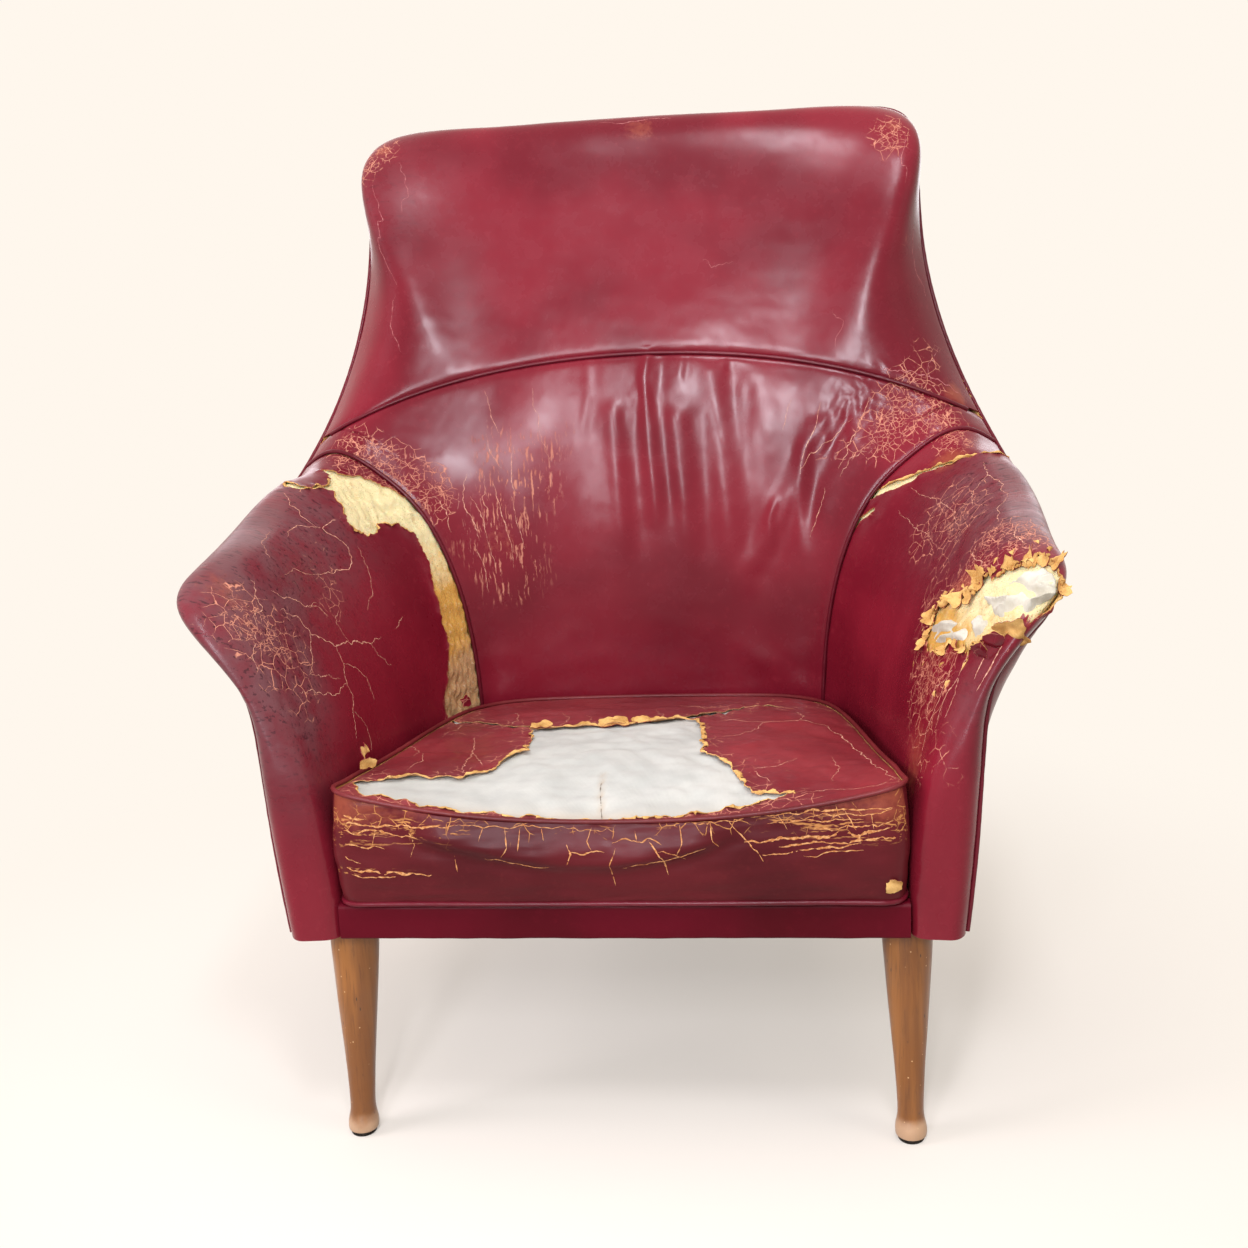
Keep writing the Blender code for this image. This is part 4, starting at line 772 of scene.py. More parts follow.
OXBLOOD = glazed_hide("oxblood aniline hide", "#681120", "#7c1a29", "#94303a")
BOXING = glazed_hide("oxblood hide, dry and creased", "#4a1218", "#5d1a20", "#74292a", roughness=0.42,
                     gloss=0.3, pull=(0.05, 1.0, 1.0), bare="#cf9052")
RAIL = glazed_hide("crimson hide", "#4c0713", "#5d0a1b", "#6f1525", roughness=0.40, wear=0.5, gloss=0.2)
CORD = glazed_hide("hide over piping cord", "#540d1a", "#671524", "#7d2430", roughness=0.32, wear=0.6)
SEAT = glazed_hide("oxblood hide, flattened by use", "#731f26", "#8b2e33", "#a64845", roughness=0.38,
                   gloss=0.4)
CORD_WORN = glazed_hide("rubbed hide over piping cord", "#5a1a1e", "#71272a", "#9a4a3c", roughness=0.42)
FLESH = flesh_side()
TORN = open_grain("torn hide edge", "#b07c50", "#d9ab7c")
BARE = open_grain("undyed grain in a crack", "#bd8068", "#dfac94")
PALE = open_grain("scratched glaze", "#a4545a", "#c98a85")
TAN = open_grain("dry open crease", "#b9733f", "#dda46c")
# Painted shade: a dull grey-brown line laid down the muslin's crease
CREASE_SHADE = open_grain("painted crease shade", "#6b6055", "#8d8276")
FOAM = latex_foam()
MUSLIN = plain_cloth("white cotton muslin", "#b3b4ae", "#c3c3bc", 0.0012, stain_and_shade="#b3a089")
COTTON = plain_cloth("cotton wadding cover", "#b5ad99", "#d3cfc2", 0.0016)
CAMBRIC = plain_cloth("black cotton cambric", "#1c1a19", "#2b2826", 0.0012)
BEECH = turned_beech()
GLIDE_STEEL = speckled("blackened steel", "#1d1b1a", "#3a3531", 300.0, 0.45, metallic=1.0)
ZINC = speckled("zinc-plated steel", "#a9adb0", "#c6c9cb", 400.0, 0.35, metallic=1.0)
RAW_BEECH = speckled("planed beech", "#b98f66", "#d1ad87", 90.0, 0.6, (1.0, 1.0, 0.2))
JUTE = speckled("jute webbing", "#94744a", "#bd9c67", 500.0, 0.95, depth=0.001)
FIBRE = speckled("curled fibre stuffing", "#4c3a26", "#7d6244", 260.0, 0.98, depth=0.003)
FELT = speckled("wool felt", "#7e766a", "#989082", 300.0, 0.98)
STAPLE = speckled("galvanised staple wire", "#8b8d8e", "#b4b6b7", 600.0, 0.4, metallic=1.0)


# ------------------------------------------------ wear, and the bloom's painted sheen, over the shell
# Soft spots in millimetres: (x, y, z, radius, strength)
CRAZE = ((-312, 440, 621, 45, 1), (-267, 445, 600, 35, 1), (-350, 444, 640, 35, 1), (-244, 442, 570, 30, .8),
         (310, 469, 676, 40, 1), (349, 451, 648, 35, 1), (280, 452, 627, 40, .9), (366, 416, 622, 25, 1),
         (221, 459, 611, 25, .5), (316, 111, 492, 45, 1), (306, 97, 467, 40, 1), (351, 133, 558, 40, 1),
         (387, 103, 577, 45, 1), (308, 203, 491, 45, .7), (310, 312, 534, 45, .6), (344, 252, 563, 55, .8),
         (-370, 37, 545, 60, .50), (-341, 42, 514, 45, .55), (-319, 88, 492, 45, .60),
         (-312, 196, 498, 50, .5), (-302, 50, 442, 45, .6), (-319, 544, 933, 38, .5),
         (-340, 561, 813, 45, .5), (-345, 545, 740, 40, .45), (320, 537, 842, 45, .45),
         (343, 505, 724, 45, .55), (-308, 567, 992, 26, 1), (-331, 555, 971, 20, 1), (303, 560, 984, 26, 1),
         (298, 546, 960, 26, .8), (300, 30, 380, 70, .6), (300, 120, 440, 70, .6), (-340, 260, 560, 70, .45),
         (345, 330, 590, 50, .5))
SPLIT = ((-177, 454, 524, 60, 1), (-172, 469, 630, 52, .75), (-125, 466, 593, 42, .6),
         (-86, 478, 650, 30, .45), (-160, 455, 470, 42, .6), (196, 462, 500, 34, .45))
# Where the bloom lies: rougher leather, with a grey-mauve colour that is painted sheen
HAZE_AND_SHEEN = ((-379, 197, 585, 110, 1), (-375, 98, 572, 80, 1), (-365, 287, 592, 80, 1), (-309, 43, 454, 60, 1),
        (-326, 48, 493, 50, 1), (379, 221, 588, 90, 1), (393, 136, 580, 60, 1), (375, 294, 598, 80, 1),
        (321, 5, 444, 40, .4), (-350, 40, 540, 60, 1), (-319, 560, 920, 80, .4), (-300, 20, 390, 60, .4))
RUB = ((352, 394, 609, 30, 1), (369, 485, 672, 25, 1), (-370, 60, 560, 40, .7), (-341, 42, 514, 30, .5),
       (316, 130, 480, 70, .6), (-177, 454, 524, 45, .6), (275, 62, 350, 45, .45), (304, 50, 400, 75, .5),
       (6, 573, 998, 28, .8), (-312, 566, 990, 16, .9), (305, 560, 984, 16, .8), (-312, 440, 621, 40, .35),
       (330, 110, 520, 40, .6))
# Open cracks as (u, v) paths in millimetres, with width
LEFT_CRACKS = ((((1582, 352), (1596, 345), (1635, 347), (1627, 326), (1620, 308), (1624, 295), (1642, 283),
                 (1672, 292), (1712, 301)), 1.0),
               (((1635, 347), (1648, 355), (1661, 366), (1679, 367), (1693, 360)), 0.8),
               (((1614, 418), (1632, 395), (1640, 379), (1642, 352)), 0.8),
               (((1790, 322), (1779, 294), (1762, 273), (1744, 273)), 0.8),
               (((1762, 273), (1748, 265), (1742, 250)), 0.7),
               (((1800, 300), (1791, 274), (1793, 256), (1787, 239), (1769, 221), (1714, 208), (1681, 198),
                 (1651, 195)), 1.1), (((1793, 256), (1803, 247), (1817, 238), (1836, 238)), 0.8),
               (((1769, 221), (1781, 200), (1797, 186), (1802, 172), (1817, 162), (1839, 141)), 0.9),
               (((1836, 238), (1817, 211), (1805, 196)), 0.7),
               (((1866, 255), (1845, 221), (1830, 196), (1796, 184)), 0.8),
               (((1591, 199), (1602, 195), (1614, 192)), 0.8),
               (((1793, 352), (1814, 322), (1821, 329), (1829, 320)), 0.8),
               (((1835, 331), (1845, 317), (1865, 329), (1874, 329)), 0.7),
               (((1603, 301), (1610, 271), (1625, 246), (1653, 232)), 0.5),
               (((1713, 301), (1735, 317), (1758, 323)), 0.6), (((1681, 198), (1673, 176), (1653, 160)), 0.5),
               (((1733, 214), (1735, 238), (1713, 251)), 0.5), (((1817, 162), (1804, 130), (1814, 105)), 0.6),
               (((1753, 352), (1735, 374), (1703, 382)), 0.6),
               (((1781, 200), (1758, 188), (1743, 165), (1748, 140)), 0.5))
BACK_CRACKS = ((((1386, 286), (1408, 271), (1414, 250), (1408, 232), (1414, 215)), 0.9),
               (((1357, 271), (1376, 255), (1380, 236)), 0.8),
               (((1285, 276), (1295, 264), (1310, 252), (1308, 238)), 0.8),
               (((1326, 304), (1332, 288), (1320, 267)), 0.7), (((1443, 295), (1444, 262), (1450, 242)), 0.8),
               (((1346, 263), (1353, 236), (1349, 205), (1354, 180)), 0.8),
               (((1320, 240), (1323, 212), (1319, 190)), 0.6),
               (((1397, 263), (1393, 232), (1398, 205), (1394, 180)), 0.7),
               (((1300, 331), (1306, 307), (1302, 291)), 0.6), (((1239, 301), (1242, 271), (1238, 246)), 0.5),
               (((1423, 210), (1417, 186), (1422, 160)), 0.7),
               (((761, 331), (753, 307), (757, 283), (748, 263)), 0.7),
               (((699, 263), (693, 232), (697, 206)), 0.6), (((753, 267), (723, 311), (713, 344)), 0.7),
               (((692, 291), (698, 328), (709, 373)), 0.7), (((808, 286), (806, 313)), 0.5),
               (((674, 331), (687, 307), (683, 285)), 0.6))
RIGHT_CRACKS = ((((587, 340), (562, 338), (517, 341), (481, 344), (445, 335), (423, 331), (418, 314)), 0.5),
                (((576, 301), (539, 297), (495, 301), (451, 297)), 0.4),
                (((519, 413), (485, 403), (451, 407), (419, 401)), 0.6),
                (((485, 403), (469, 374), (445, 364)), 0.5), (((419, 401), (394, 382), (364, 374)), 0.6),
                (((238, 352), (221, 341), (205, 348)), 1.0),
                (((241, 301), (225, 293), (213, 271), (196, 263)), 1.0),
                (((250, 285), (238, 263), (244, 236), (229, 214)), 0.9),
                (((225, 293), (204, 301), (186, 295)), 0.8),
                (((238, 263), (215, 246), (204, 226), (186, 220)), 0.8),
                (((244, 405), (227, 399), (215, 407)), 0.9),
                (((242, 382), (223, 374), (207, 382), (190, 376)), 0.9),
                (((350, 240), (370, 226), (390, 232)), 0.7),
                (((305, 325), (324, 331), (340, 323), (358, 331)), 0.8),
                (((295, 385), (314, 395), (328, 386), (350, 397)), 0.8),
                (((336, 258), (350, 269), (370, 263)), 0.7))
HEAD_CRACKS = ((((1258, 443), (1276, 432), (1308, 445), (1322, 432)), 0.6),
               (((1330, 436), (1356, 442), (1366, 420)), 0.5), (((1242, 476), (1233, 476), (1223, 470)), 0.9),
               (((1226, 442), (1236, 426), (1255, 421)), 0.5), (((860, 449), (852, 440), (829, 442)), 0.6),
               (((809, 381), (786, 381), (778, 370)), 0.5), (((787, 464), (766, 476), (744, 477)), 0.6),
               (((709, 471), (695, 445), (679, 439)), 0.6), (((968, 357), (950, 352), (928, 357)), 0.4),
               (((1079, 449), (1057, 452), (1029, 453)), 0.8), (((1075, 459), (1051, 461), (1026, 465)), 0.7),
               (((700, 428), (683, 449), (670, 473)), 1.0), (((722, 399), (707, 412), (699, 428)), 0.7))


def wear(points):
    """The four marks at points on the shell: craze, split and rub are wear, and haze is a dull bloom whose
    colour is painted sheen.
    """
    return {"craze": spots(points, CRAZE), "split": spots(points, SPLIT), "haze_and_sheen": spots(points, HAZE_AND_SHEEN),
            "rub": spots(points, RUB)}


def no_wear(points, **level):
    """Even marks for leather away from the shell."""
    return {key: np.full(len(points), level.get(key, 0.0)) for key in ("craze", "split", "haze_and_sheen", "rub")}


# ------------------------------------------------ the shell: leather and padding
def clustered(count, strength=0.6):
    """Shares from 0 to 1, closer together near both ends."""
    t = np.linspace(0, 1, count)
    return t - strength * np.sin(2 * math.pi * t) / (2 * math.pi)


def arm_place(s, t, inset=SEAM):
    """u and v over the right arm, from shares along it and up it."""
    top = V_END - inset / stretch(s * U_ARM, np.full_like(s, V_END - 0.002))[1]
    v = t * top
    seam = U_ARM - inset / stretch(np.full_like(v, U_ARM), np.minimum(v, V_END - 0.002))[0]
    return s * seam, v


def arm_hide(side_name):
    """The leather of one arm with its tears, its torn edges lifted."""
    left = side_name == "left"
    across, up = clustered(168), clustered(150)
    ring = np.concatenate([np.stack([across, 0 * across], 1), np.stack([0 * up + 1, up], 1)[1:],
                           np.stack([across, 0 * across + 1], 1)[-2::-1], np.stack([0 * up, up], 1)[-2:0:-1]])
    outline = np.stack(arm_place(ring[:, 0], ring[:, 1]), axis=1)
    s, t = (grid.ravel() for grid in np.meshgrid(across[1:-1], up[1:-1], indexing="ij"))
    holes = [ragged([(U_END * 1000 - x, y) if left else (x, y) for x, y in hole], rough, seed)
             for seed, (hole, rough) in enumerate(TEARS[side_name])]
    flat, faces = torn_mesh(outline, np.stack(arm_place(s, t), axis=1), holes)
    u = U_END - flat[:, 0] if left else flat[:, 0]
    away = distance(flat, np.concatenate([evenly(np.vstack([h, h[:1]]), 3 * len(h)) for h in holes]))
    point, outward = shell_frame(u, flat[:, 1])
    relief = shell_relief(point)
    relief += LIFT[side_name] * np.exp(-away / 0.0055) * (0.75 + 0.9 * ripple(point, 0.024, 12, 2))
    marks = wear(point)
    marks["rub"] = np.maximum(marks["rub"], 0.9 * np.exp(-away / 0.0030))
    marks["craze"] = np.maximum(marks["craze"], 0.55 * np.exp(-away / 0.016))
    thick = HIDE - 0.0008 * np.exp(-away / 0.004)
    outer, inner = point + outward * relief[:, None], point + outward * (relief - thick)[:, None]
    piece = double("arm_%s_hide" % side_name, outer, inner, faces, [OXBLOOD, FLESH], away < 0.0004, marks)
    return place(piece, "oxblood_leather", "arm_%s_cover" % side_name, fill=0.9)


def band_hide(name, u, low, high, rows, node_name):
    """Leather without tears between two lines of the shell."""
    share = clustered(rows)
    v = low[:, None] + (high - low)[:, None] * share[None, :]
    u = np.repeat(u[:, None], rows, 1)
    point, outward = shell_frame(u.ravel(), v.ravel())
    relief = shell_relief(point)[:, None]
    piece = double(name, point + outward * relief, point + outward * (relief - HIDE), grid_faces(*u.shape),
                   [OXBLOOD, FLESH], marks=wear(point))
    return place(piece, "oxblood_leather", node_name, fill=0.9)


def pad_depth(u, v):
    """Depth of the padding's back: thin where the arm is narrow and towards the outer edge."""
    side = np.minimum(u, U_END - u)
    places = [0, U[3], U[4], U[5], U[6], U_ARM, U[11]]
    thick = np.interp(side, places, [0.010, 0.010, 0.011, 0.013, 0.020, 0.026, 0.030])
    share = np.interp(v, [0, V[1], V[3], V[4], V[5], V_END], [0.6, 1.0, 1.0, 0.45, 0.20, 0.10])
    rolled = np.interp(side, [U[2], U[3], U[5], U[6]], [0, 1, 1, 0]) * np.interp(v, [V[3], V[4]], [0, 1])
    return 0.0028 + np.maximum(thick * share, 0.0030) * (1 - rolled) + 0.0024 * rolled


def foam(name, u, v, bare, node_name):
    """Latex foam under the leather, over a grid of u and v, crumbled where it lies bare."""
    shape, u, v = u.shape, u.ravel(), v.ravel()
    point, outward = shell_frame(u, v)
    relief = shell_relief(point)
    lump = np.zeros(len(u))
    if len(bare):
        flat = np.stack([u, v], axis=1)
        for outline in bare:
            outline = np.array(outline, float) / 1000
            edge = evenly(np.vstack([outline, outline[:1]]), 300)
            within = inside(flat, outline) * blend(0.001, 0.010, distance(flat, edge))
            lump += within * (0.0010 + 0.0016 * ripple(point, 0.020, 31, 2) + 0.0006 *
                              ripple(point, 0.007, 32, 2))
    near = point + outward * (relief + lump - HIDE - PAD_GAP)[:, None]
    far = point + outward * (np.minimum(relief, 0) - pad_depth(u, v))[:, None]
    piece = double(name, near, far, grid_faces(*shape), [FOAM])
    return place(piece, "latex_foam", node_name, fill=0.95)


def spaced(breaks, pitches):
    """Places along a line whose pitch changes at the breaks."""
    return np.concatenate([np.linspace(a, b, max(2, int((b - a) / pitch)))[:-1]
                           for a, b, pitch in zip(breaks, breaks[1:], pitches)] + [[breaks[-1]]])


def shell_leather():
    """The four hides of the shell, and the foam beneath each."""
    arm_hide("left")
    arm_hide("right")
    first = U_ARM + SEAM / stretch(np.array([U_ARM]), np.array([0.2]))[0][0]
    u = first + (U_END - 2 * first) * clustered(226, 0.25)
    arch = arch_v(u)
    du, dv = stretch(u, np.minimum(arch, V_END - 0.002))
    room = SEAM * np.sqrt(1 + (np.gradient(arch, u) * dv / du) ** 2) / dv
    band_hide("back_hide", u, np.zeros_like(u), arch - room, 142, "back_cover")
    wide = V_END - arch > 0.0075
    u, arch, room = u[wide], arch[wide], room[wide]
    top = V_END - SEAM / stretch(u, np.full_like(u, V_END - 0.002))[1]
    band_hide("head_hide", u, arch + room, top, 128, "head_cover")
    for side, bare, breaks, pitches in (
            ("left", (BURST_SEAM, SMALL_BURST), (0.002, 0.44, 0.56, U_ARM), (0.009, 0.0024, 0.0020)),
            ("right", (NOSE_HOLE,), (0.002, 0.22, 0.37, 0.56, U_ARM), (0.008, 0.0028, 0.009, 0.003))):
        s, t = np.meshgrid(spaced(breaks, pitches) / U_ARM, clustered(126, 0.3), indexing="ij")
        u, v = arm_place(s.ravel(), t.ravel())
        u, v = u.reshape(s.shape), v.reshape(s.shape)
        foam("arm_%s_foam" % side, U_END - u if side == "left" else u, v, bare, "arm_%s_pad" % side)
    u = first + (U_END - 2 * first) * np.linspace(0, 1, 90)
    for name, upper in (("back", False), ("head", True)):
        lines = u[V_END - arch_v(u) > 0.012] if upper else u
        arch = arch_v(lines)
        low = arch + 0.0045 if upper else 0 * lines
        high = np.full_like(lines, V_END - 0.0045) if upper else arch - 0.0045
        v = low[:, None] + (high - low)[:, None] * np.linspace(0, 1, 64)[None, :]
        foam(name + "_foam", np.repeat(lines[:, None], 64, 1), v, (), name + "_pad")


# ------------------------------------------------ cords
def new_tree(name, **sockets):
    """An empty node tree for geometry, with named inputs and one output."""
    tree = bpy.data.node_groups.new(name, "GeometryNodeTree")
    for label, kind in sockets.items():
        tree.interface.new_socket(label, in_out="INPUT", socket_type="NodeSocket" + kind)
    tree.interface.new_socket("Result", in_out="OUTPUT", socket_type="NodeSocketGeometry")
    return tree


def welt_tree():
    """Sweeps a round leather-covered cord along the edges given, with small puckers."""
    tree = new_tree("welt", Path="Geometry", Radius="Float", Spacing="Float", Pucker="Float",
                    Finish="Material")
    given = node(tree, "NodeGroupInput").outputs
    curve = node(tree, "GeometryNodeMeshToCurve", {"Mesh": given["Path"]})
    even = node(tree, "GeometryNodeResampleCurve", {"Curve": curve, "Length": given["Spacing"]},
                mode="LENGTH")
    noise = node(tree, "TexNoise", {"Scale": 90.0})
    about = node(tree, "Math", (noise, 0.5), operation="SUBTRACT")
    pucker = node(tree, "Math", (about, given["Pucker"], 1.0), operation="MULTIPLY_ADD")
    size = node(tree, "Math", (pucker, given["Radius"]), **TIMES)
    circle = node(tree, "GeometryNodeCurvePrimitiveCircle", {"Resolution": 12, "Radius": 1.0})
    sweep = node(tree, "GeometryNodeCurveToMesh",
                 {"Curve": even, "Profile Curve": circle, "Scale": size, "Fill Caps": True})
    smooth = node(tree, "GeometryNodeSetShadeSmooth", {"Geometry": sweep})
    real = node(tree, "GeometryNodeRealizeInstances", {"Geometry": smooth})
    finish = node(tree, "GeometryNodeSetMaterial", {"Geometry": real, "Material": given["Finish"]})
    node(tree, "NodeGroupOutput", {"Result": finish})
    return tree


def grown(name, path_verts, path_edges, tree, **values):
    """The mesh that a node tree grows from points and edges, as a piece with no modifier."""
    mesh = bpy.data.meshes.new(name + "_path")
    mesh.from_pydata((np.asarray(path_verts, float) + SHIFT).tolist(), path_edges, [])
    base = bpy.data.objects.new(name + "_path", mesh)
    bpy.context.scene.collection.objects.link(base)
    modifier = base.modifiers.new("grow", "NODES")
    modifier.node_group = tree
    sockets = {item.name: item.identifier for item in tree.interface.items_tree
               if item.item_type == "SOCKET" and item.in_out == "INPUT"}
    for key, value in values.items():
        modifier[sockets[key]] = value
    seen = base.evaluated_get(bpy.context.evaluated_depsgraph_get())
    result = bpy.data.meshes.new_from_object(seen)
    result.name = name
    base.modifiers.remove(modifier)
    bpy.data.objects.remove(base, do_unlink=True)
    made = bpy.data.objects.new(name, result)
    bpy.context.scene.collection.objects.link(made)
    return made


def welt(name, path, radius, tree, node_name, slot="cord_leather", loop=False, finish=None):
    """A leather-covered cord along a path."""
    count = len(path)
    edges = [(k, k + 1) for k in range(count - 1)] + ([(count - 1, 0)] if loop else [])
    piece = grown(name, path, edges, tree, Radius=radius, Spacing=0.0024, Pucker=0.30, Finish=finish or CORD)
    return place(piece, slot, node_name)


def shell_welts(tree):
    """Cords round the outer edge, over the arch, and beside each arm."""
    u = np.linspace(0.0006, U_END - 0.0006, 900)
    point, outward = shell_frame(u, np.full_like(u, V_END))
    welt("edge_welt", point - outward * WELT_SUNK, WELT, tree, "edge_piping")
    u = np.linspace(U_ARM, U_END - U_ARM, 500)
    u = u[V_END - arch_v(u) > 0.0060]
    point, outward = shell_frame(u, arch_v(u))
    welt("arch_welt", point - outward * WELT_SUNK, WELT, tree, "arch_piping")
    v = np.linspace(0.0005, V_END - 0.0040, 300)
    for side, line in (("right", U_ARM), ("left", U_END - U_ARM)):
        point, outward = shell_frame(np.full_like(v, line), v)
        welt("arm_welt_" + side, point - outward * 0.0012, WELT, tree, "arm_piping_" + side)


# ------------------------------------------------ cracks, lips and scraps
def close_points(path):
    """A flat path in millimetres as close points in metres."""
    path = np.array(path, float) / 1000
    return evenly(path, max(4, int(run_length(path)[-1] / 0.0014)))


def crack_line(path, sway):
    """A flat path in millimetres as close points, which sway to either side as a crack does."""
    line = close_points(path)
    draw = ripple(np.pad(line, ((0, 0), (0, 1))), 0.018, int(abs(line[0, 0]) * 1000) + 7, 3)
    ahead = np.gradient(line, axis=0)
    ahead /= np.linalg.norm(ahead, axis=1)[:, None] + 1e-12
    return line + np.stack([-ahead[:, 1], ahead[:, 0]], axis=1) * (sway * draw)[:, None]


def surface_of(path):
    """Points and outward directions along a (u, v) path in millimetres, on the worn leather."""
    line = crack_line(path, 0.0017)
    point, outward = shell_frame(line[:, 0], line[:, 1])
    return point + outward * shell_relief(point)[:, None], outward


def seat_surface(path):
    """The same along an (x, y) path in millimetres on the cushion's top."""
    line = crack_line(path, 0.0014)
    step = 5e-4
    low = [seat_top(line[:, 0] - a, line[:, 1] - b) for a, b in ((step, 0), (0, step))]
    high = [seat_top(line[:, 0] + a, line[:, 1] + b) for a, b in ((step, 0), (0, step))]
    outward = np.cross(high[0] - low[0], high[1] - low[1])
    return seat_top(line[:, 0], line[:, 1]), outward / np.linalg.norm(outward, axis=1)[:, None]


def cracks(name, lines, finish, slot, proud=0.00012):
    """Open cracks: each a thin wedge along its line, just proud of the leather, tapering at both ends."""
    verts, faces = [], []
    for k, (point, outward, width) in enumerate(lines):
        count = len(point)
        ahead = np.gradient(point, axis=0)
        ahead /= np.linalg.norm(ahead, axis=1)[:, None] + 1e-12
        side = np.cross(outward, ahead)
        share = np.linspace(0, 1, count)
        half = width / 2000 * (0.12 + 0.88 * np.sin(math.pi * share) ** 0.5)
        half = half * (0.85 + 0.5 * ripple(point, 0.006, 40 + k, 2))
        half = np.maximum(half, 0.00008)[:, None]
        start = len(verts)
        for row in zip(point + side * half + outward * proud, point - side * half + outward * proud,
                       point - outward * 0.0006):
            verts.extend(row)
        a = start + 3 * np.arange(count - 1)
        for p, q in ((0, 1), (1, 2), (2, 0)):
            faces += np.stack([a + p, a + 3 + p, a + 3 + q, a + q], axis=1).tolist()
        faces += [[start + 2, start + 1, start], [start + 3 * (count - 1) + j for j in (0, 1, 2)]]
    return place(turned_out(publish(name, np.array(verts), faces, [finish])), slot)


def rolled_lip(name, edges, slot="oxblood_leather"):
    """Torn leather rolled back from an opening: flesh side out, grain inside the roll.

    Each edge is (points, outward, side, radius, turn, seed): side is 1 or -1, for which way the leather lies.
    """
    steps = 9
    outer, inner, faces = [], [], []
    for point, outward, side, radius, turn, seed in edges:
        ahead = np.gradient(point, axis=0)
        ahead /= np.linalg.norm(ahead, axis=1)[:, None] + 1e-12
        back = np.cross(outward, ahead) * side
        share = np.linspace(0, 1, len(point))
        taper = np.sin(math.pi * np.clip(share, 0, 1)) ** 0.35
        wave, curl = ripple(point, 0.022, seed, 2), ripple(point, 0.009, seed + 1, 2)
        size = radius * (0.35 + 0.65 * taper) * np.clip(1 + 0.8 * wave, 0.25, 2)
        angle = turn * (0.35 + 0.65 * taper) * np.clip(1 + 0.6 * curl, 0.3, 1.5)
        theta = np.linspace(0, 1, steps)[None, :] * angle[:, None]
        for skin_points, cut in ((outer, 0.0), (inner, 0.0009)):
            r = np.maximum(size[:, None] - cut, 0.0003)
            x, z = size[:, None] - r * np.cos(theta), r * np.sin(theta)
            skin_points.append((point[:, None] + back[:, None] * x[..., None] +
                                outward[:, None] * (z - 0.0002)[..., None]).reshape(-1, 3))
        first = sum(len(o) for o in outer[:-1])
        faces.append(grid_faces(len(point), steps) + first)
    outer, inner, faces = np.concatenate(outer), np.concatenate(inner), np.concatenate(faces)
    sizes = [(len(point) - 1) * (steps - 1) for point, *_ in edges]
    turned = [outward_first(outer, inner, part) for part in np.split(faces, np.cumsum(sizes)[:-1])]
    return place(double(name, outer, inner, np.concatenate(turned), [FLESH, OXBLOOD],
                        marks=no_wear(outer, craze=0.3)), slot)


def scrap(name, outline, base, along, up, bend, crumple, seed, finishes, slot="oxblood_leather",
          thick=0.0010):
    """A loose scrap with a ragged outline in millimetres, laid out from a base point along two directions.

    It bends towards its face by bend times the square of its height, and is crumpled at random.
    """
    along, up, base = (np.array(a, float) for a in (along, up, base))
    along /= np.linalg.norm(along)
    face = np.cross(along, up)
    face /= np.linalg.norm(face)
    up = np.cross(face, along)
    ring = ragged(outline, 0.0012, seed, 0.0016)
    low, high = ring.min(0), ring.max(0)
    x, y = np.meshgrid(np.arange(low[0], high[0], 0.0019), np.arange(low[1], high[1], 0.0019))
    flat, faces = torn_mesh(ring, np.stack([x.ravel(), y.ravel()], axis=1), [])
    field = np.pad(flat, ((0, 0), (0, 1)))
    lift = bend * flat[:, 1] ** 2 + crumple * (ripple(field, 0.022, seed, 2) + 0.5 *
                                               ripple(field, 0.009, seed + 3, 1))
    middle = base / 1000 + flat[:, :1] * along + flat[:, 1:] * up + lift[:, None] * face
    torn = distance(flat, ring) < 1e-5
    piece = double(name, middle + face * thick / 2, middle - face * thick / 2, faces, finishes, torn,
                   no_wear(flat, craze=0.6, rub=0.3))
    return place(piece, slot)


# ------------------------------------------------ outside panels
def edge(u):
    """The shell's outer edge."""
    return on_shell(u, np.full_like(np.asarray(u, float), V_END))


BASE = smooth_curve(np.array(BASE_LINE) / 1000, 60)
ARM_EDGE = edge(np.linspace(U[2], U_ARM, 90))
BACK_EDGE = edge(np.linspace(U_ARM, U[14], 120))


def outside_arm_x(y, z):
    """How far out the outside arm lies: upright below, sweeping out under the rolled top."""
    foot = np.interp(y, BASE[:, 1], BASE[:, 0])
    top_x = np.interp(y, ARM_EDGE[:, 1], ARM_EDGE[:, 0])
    top_z = np.interp(y, ARM_EDGE[:, 1], ARM_EDGE[:, 2])
    share = np.clip((z - BASE_Z) / (top_z - BASE_Z), 0, 1)
    return foot + (top_x - foot) * share ** 3.0


def back_side(z):
    """Half width and depth of the outside back's side edge at a height."""
    seam = outside_arm_x(np.full_like(z, REAR_CORNER_Y), np.minimum(z, ARM_EDGE[-1, 2]))
    x = np.where(z < ARM_EDGE[-1, 2], seam, np.interp(z, BACK_EDGE[:, 2], BACK_EDGE[:, 0]))
    y = np.where(z < ARM_EDGE[-1, 2], REAR_CORNER_Y, np.interp(z, BACK_EDGE[:, 2], BACK_EDGE[:, 1]))
    return x, y


def outside_back_y(x, z):
    """How far back the outside back lies: a shallow arc across at every height."""
    half, side = back_side(z)
    rise = np.clip((z - BASE_Z) / (BACK_EDGE[-1, 2] - BASE_Z), 0, 1)
    middle = BASE_REAR_Y + (BACK_EDGE[-1, 1] - BASE_REAR_Y) * rise
    return middle + (side - middle) * np.clip(np.abs(x) / half, 0, 1) ** 2.4


def trimmed_edge(lines, axes, trim):
    """The outer edge seen flat along two axes, drawn to the right of its run by a trim."""
    fine = np.linspace(lines[0], lines[-1], 600)
    flat = edge(fine)[:, axes]
    ahead = np.gradient(flat, axis=0)
    ahead /= np.linalg.norm(ahead, axis=1)[:, None]
    drawn = flat + np.stack([ahead[:, 1], -ahead[:, 0]], axis=1) * trim
    return np.stack([np.interp(lines, fine, drawn[:, k]) for k in (0, 1)], axis=1)


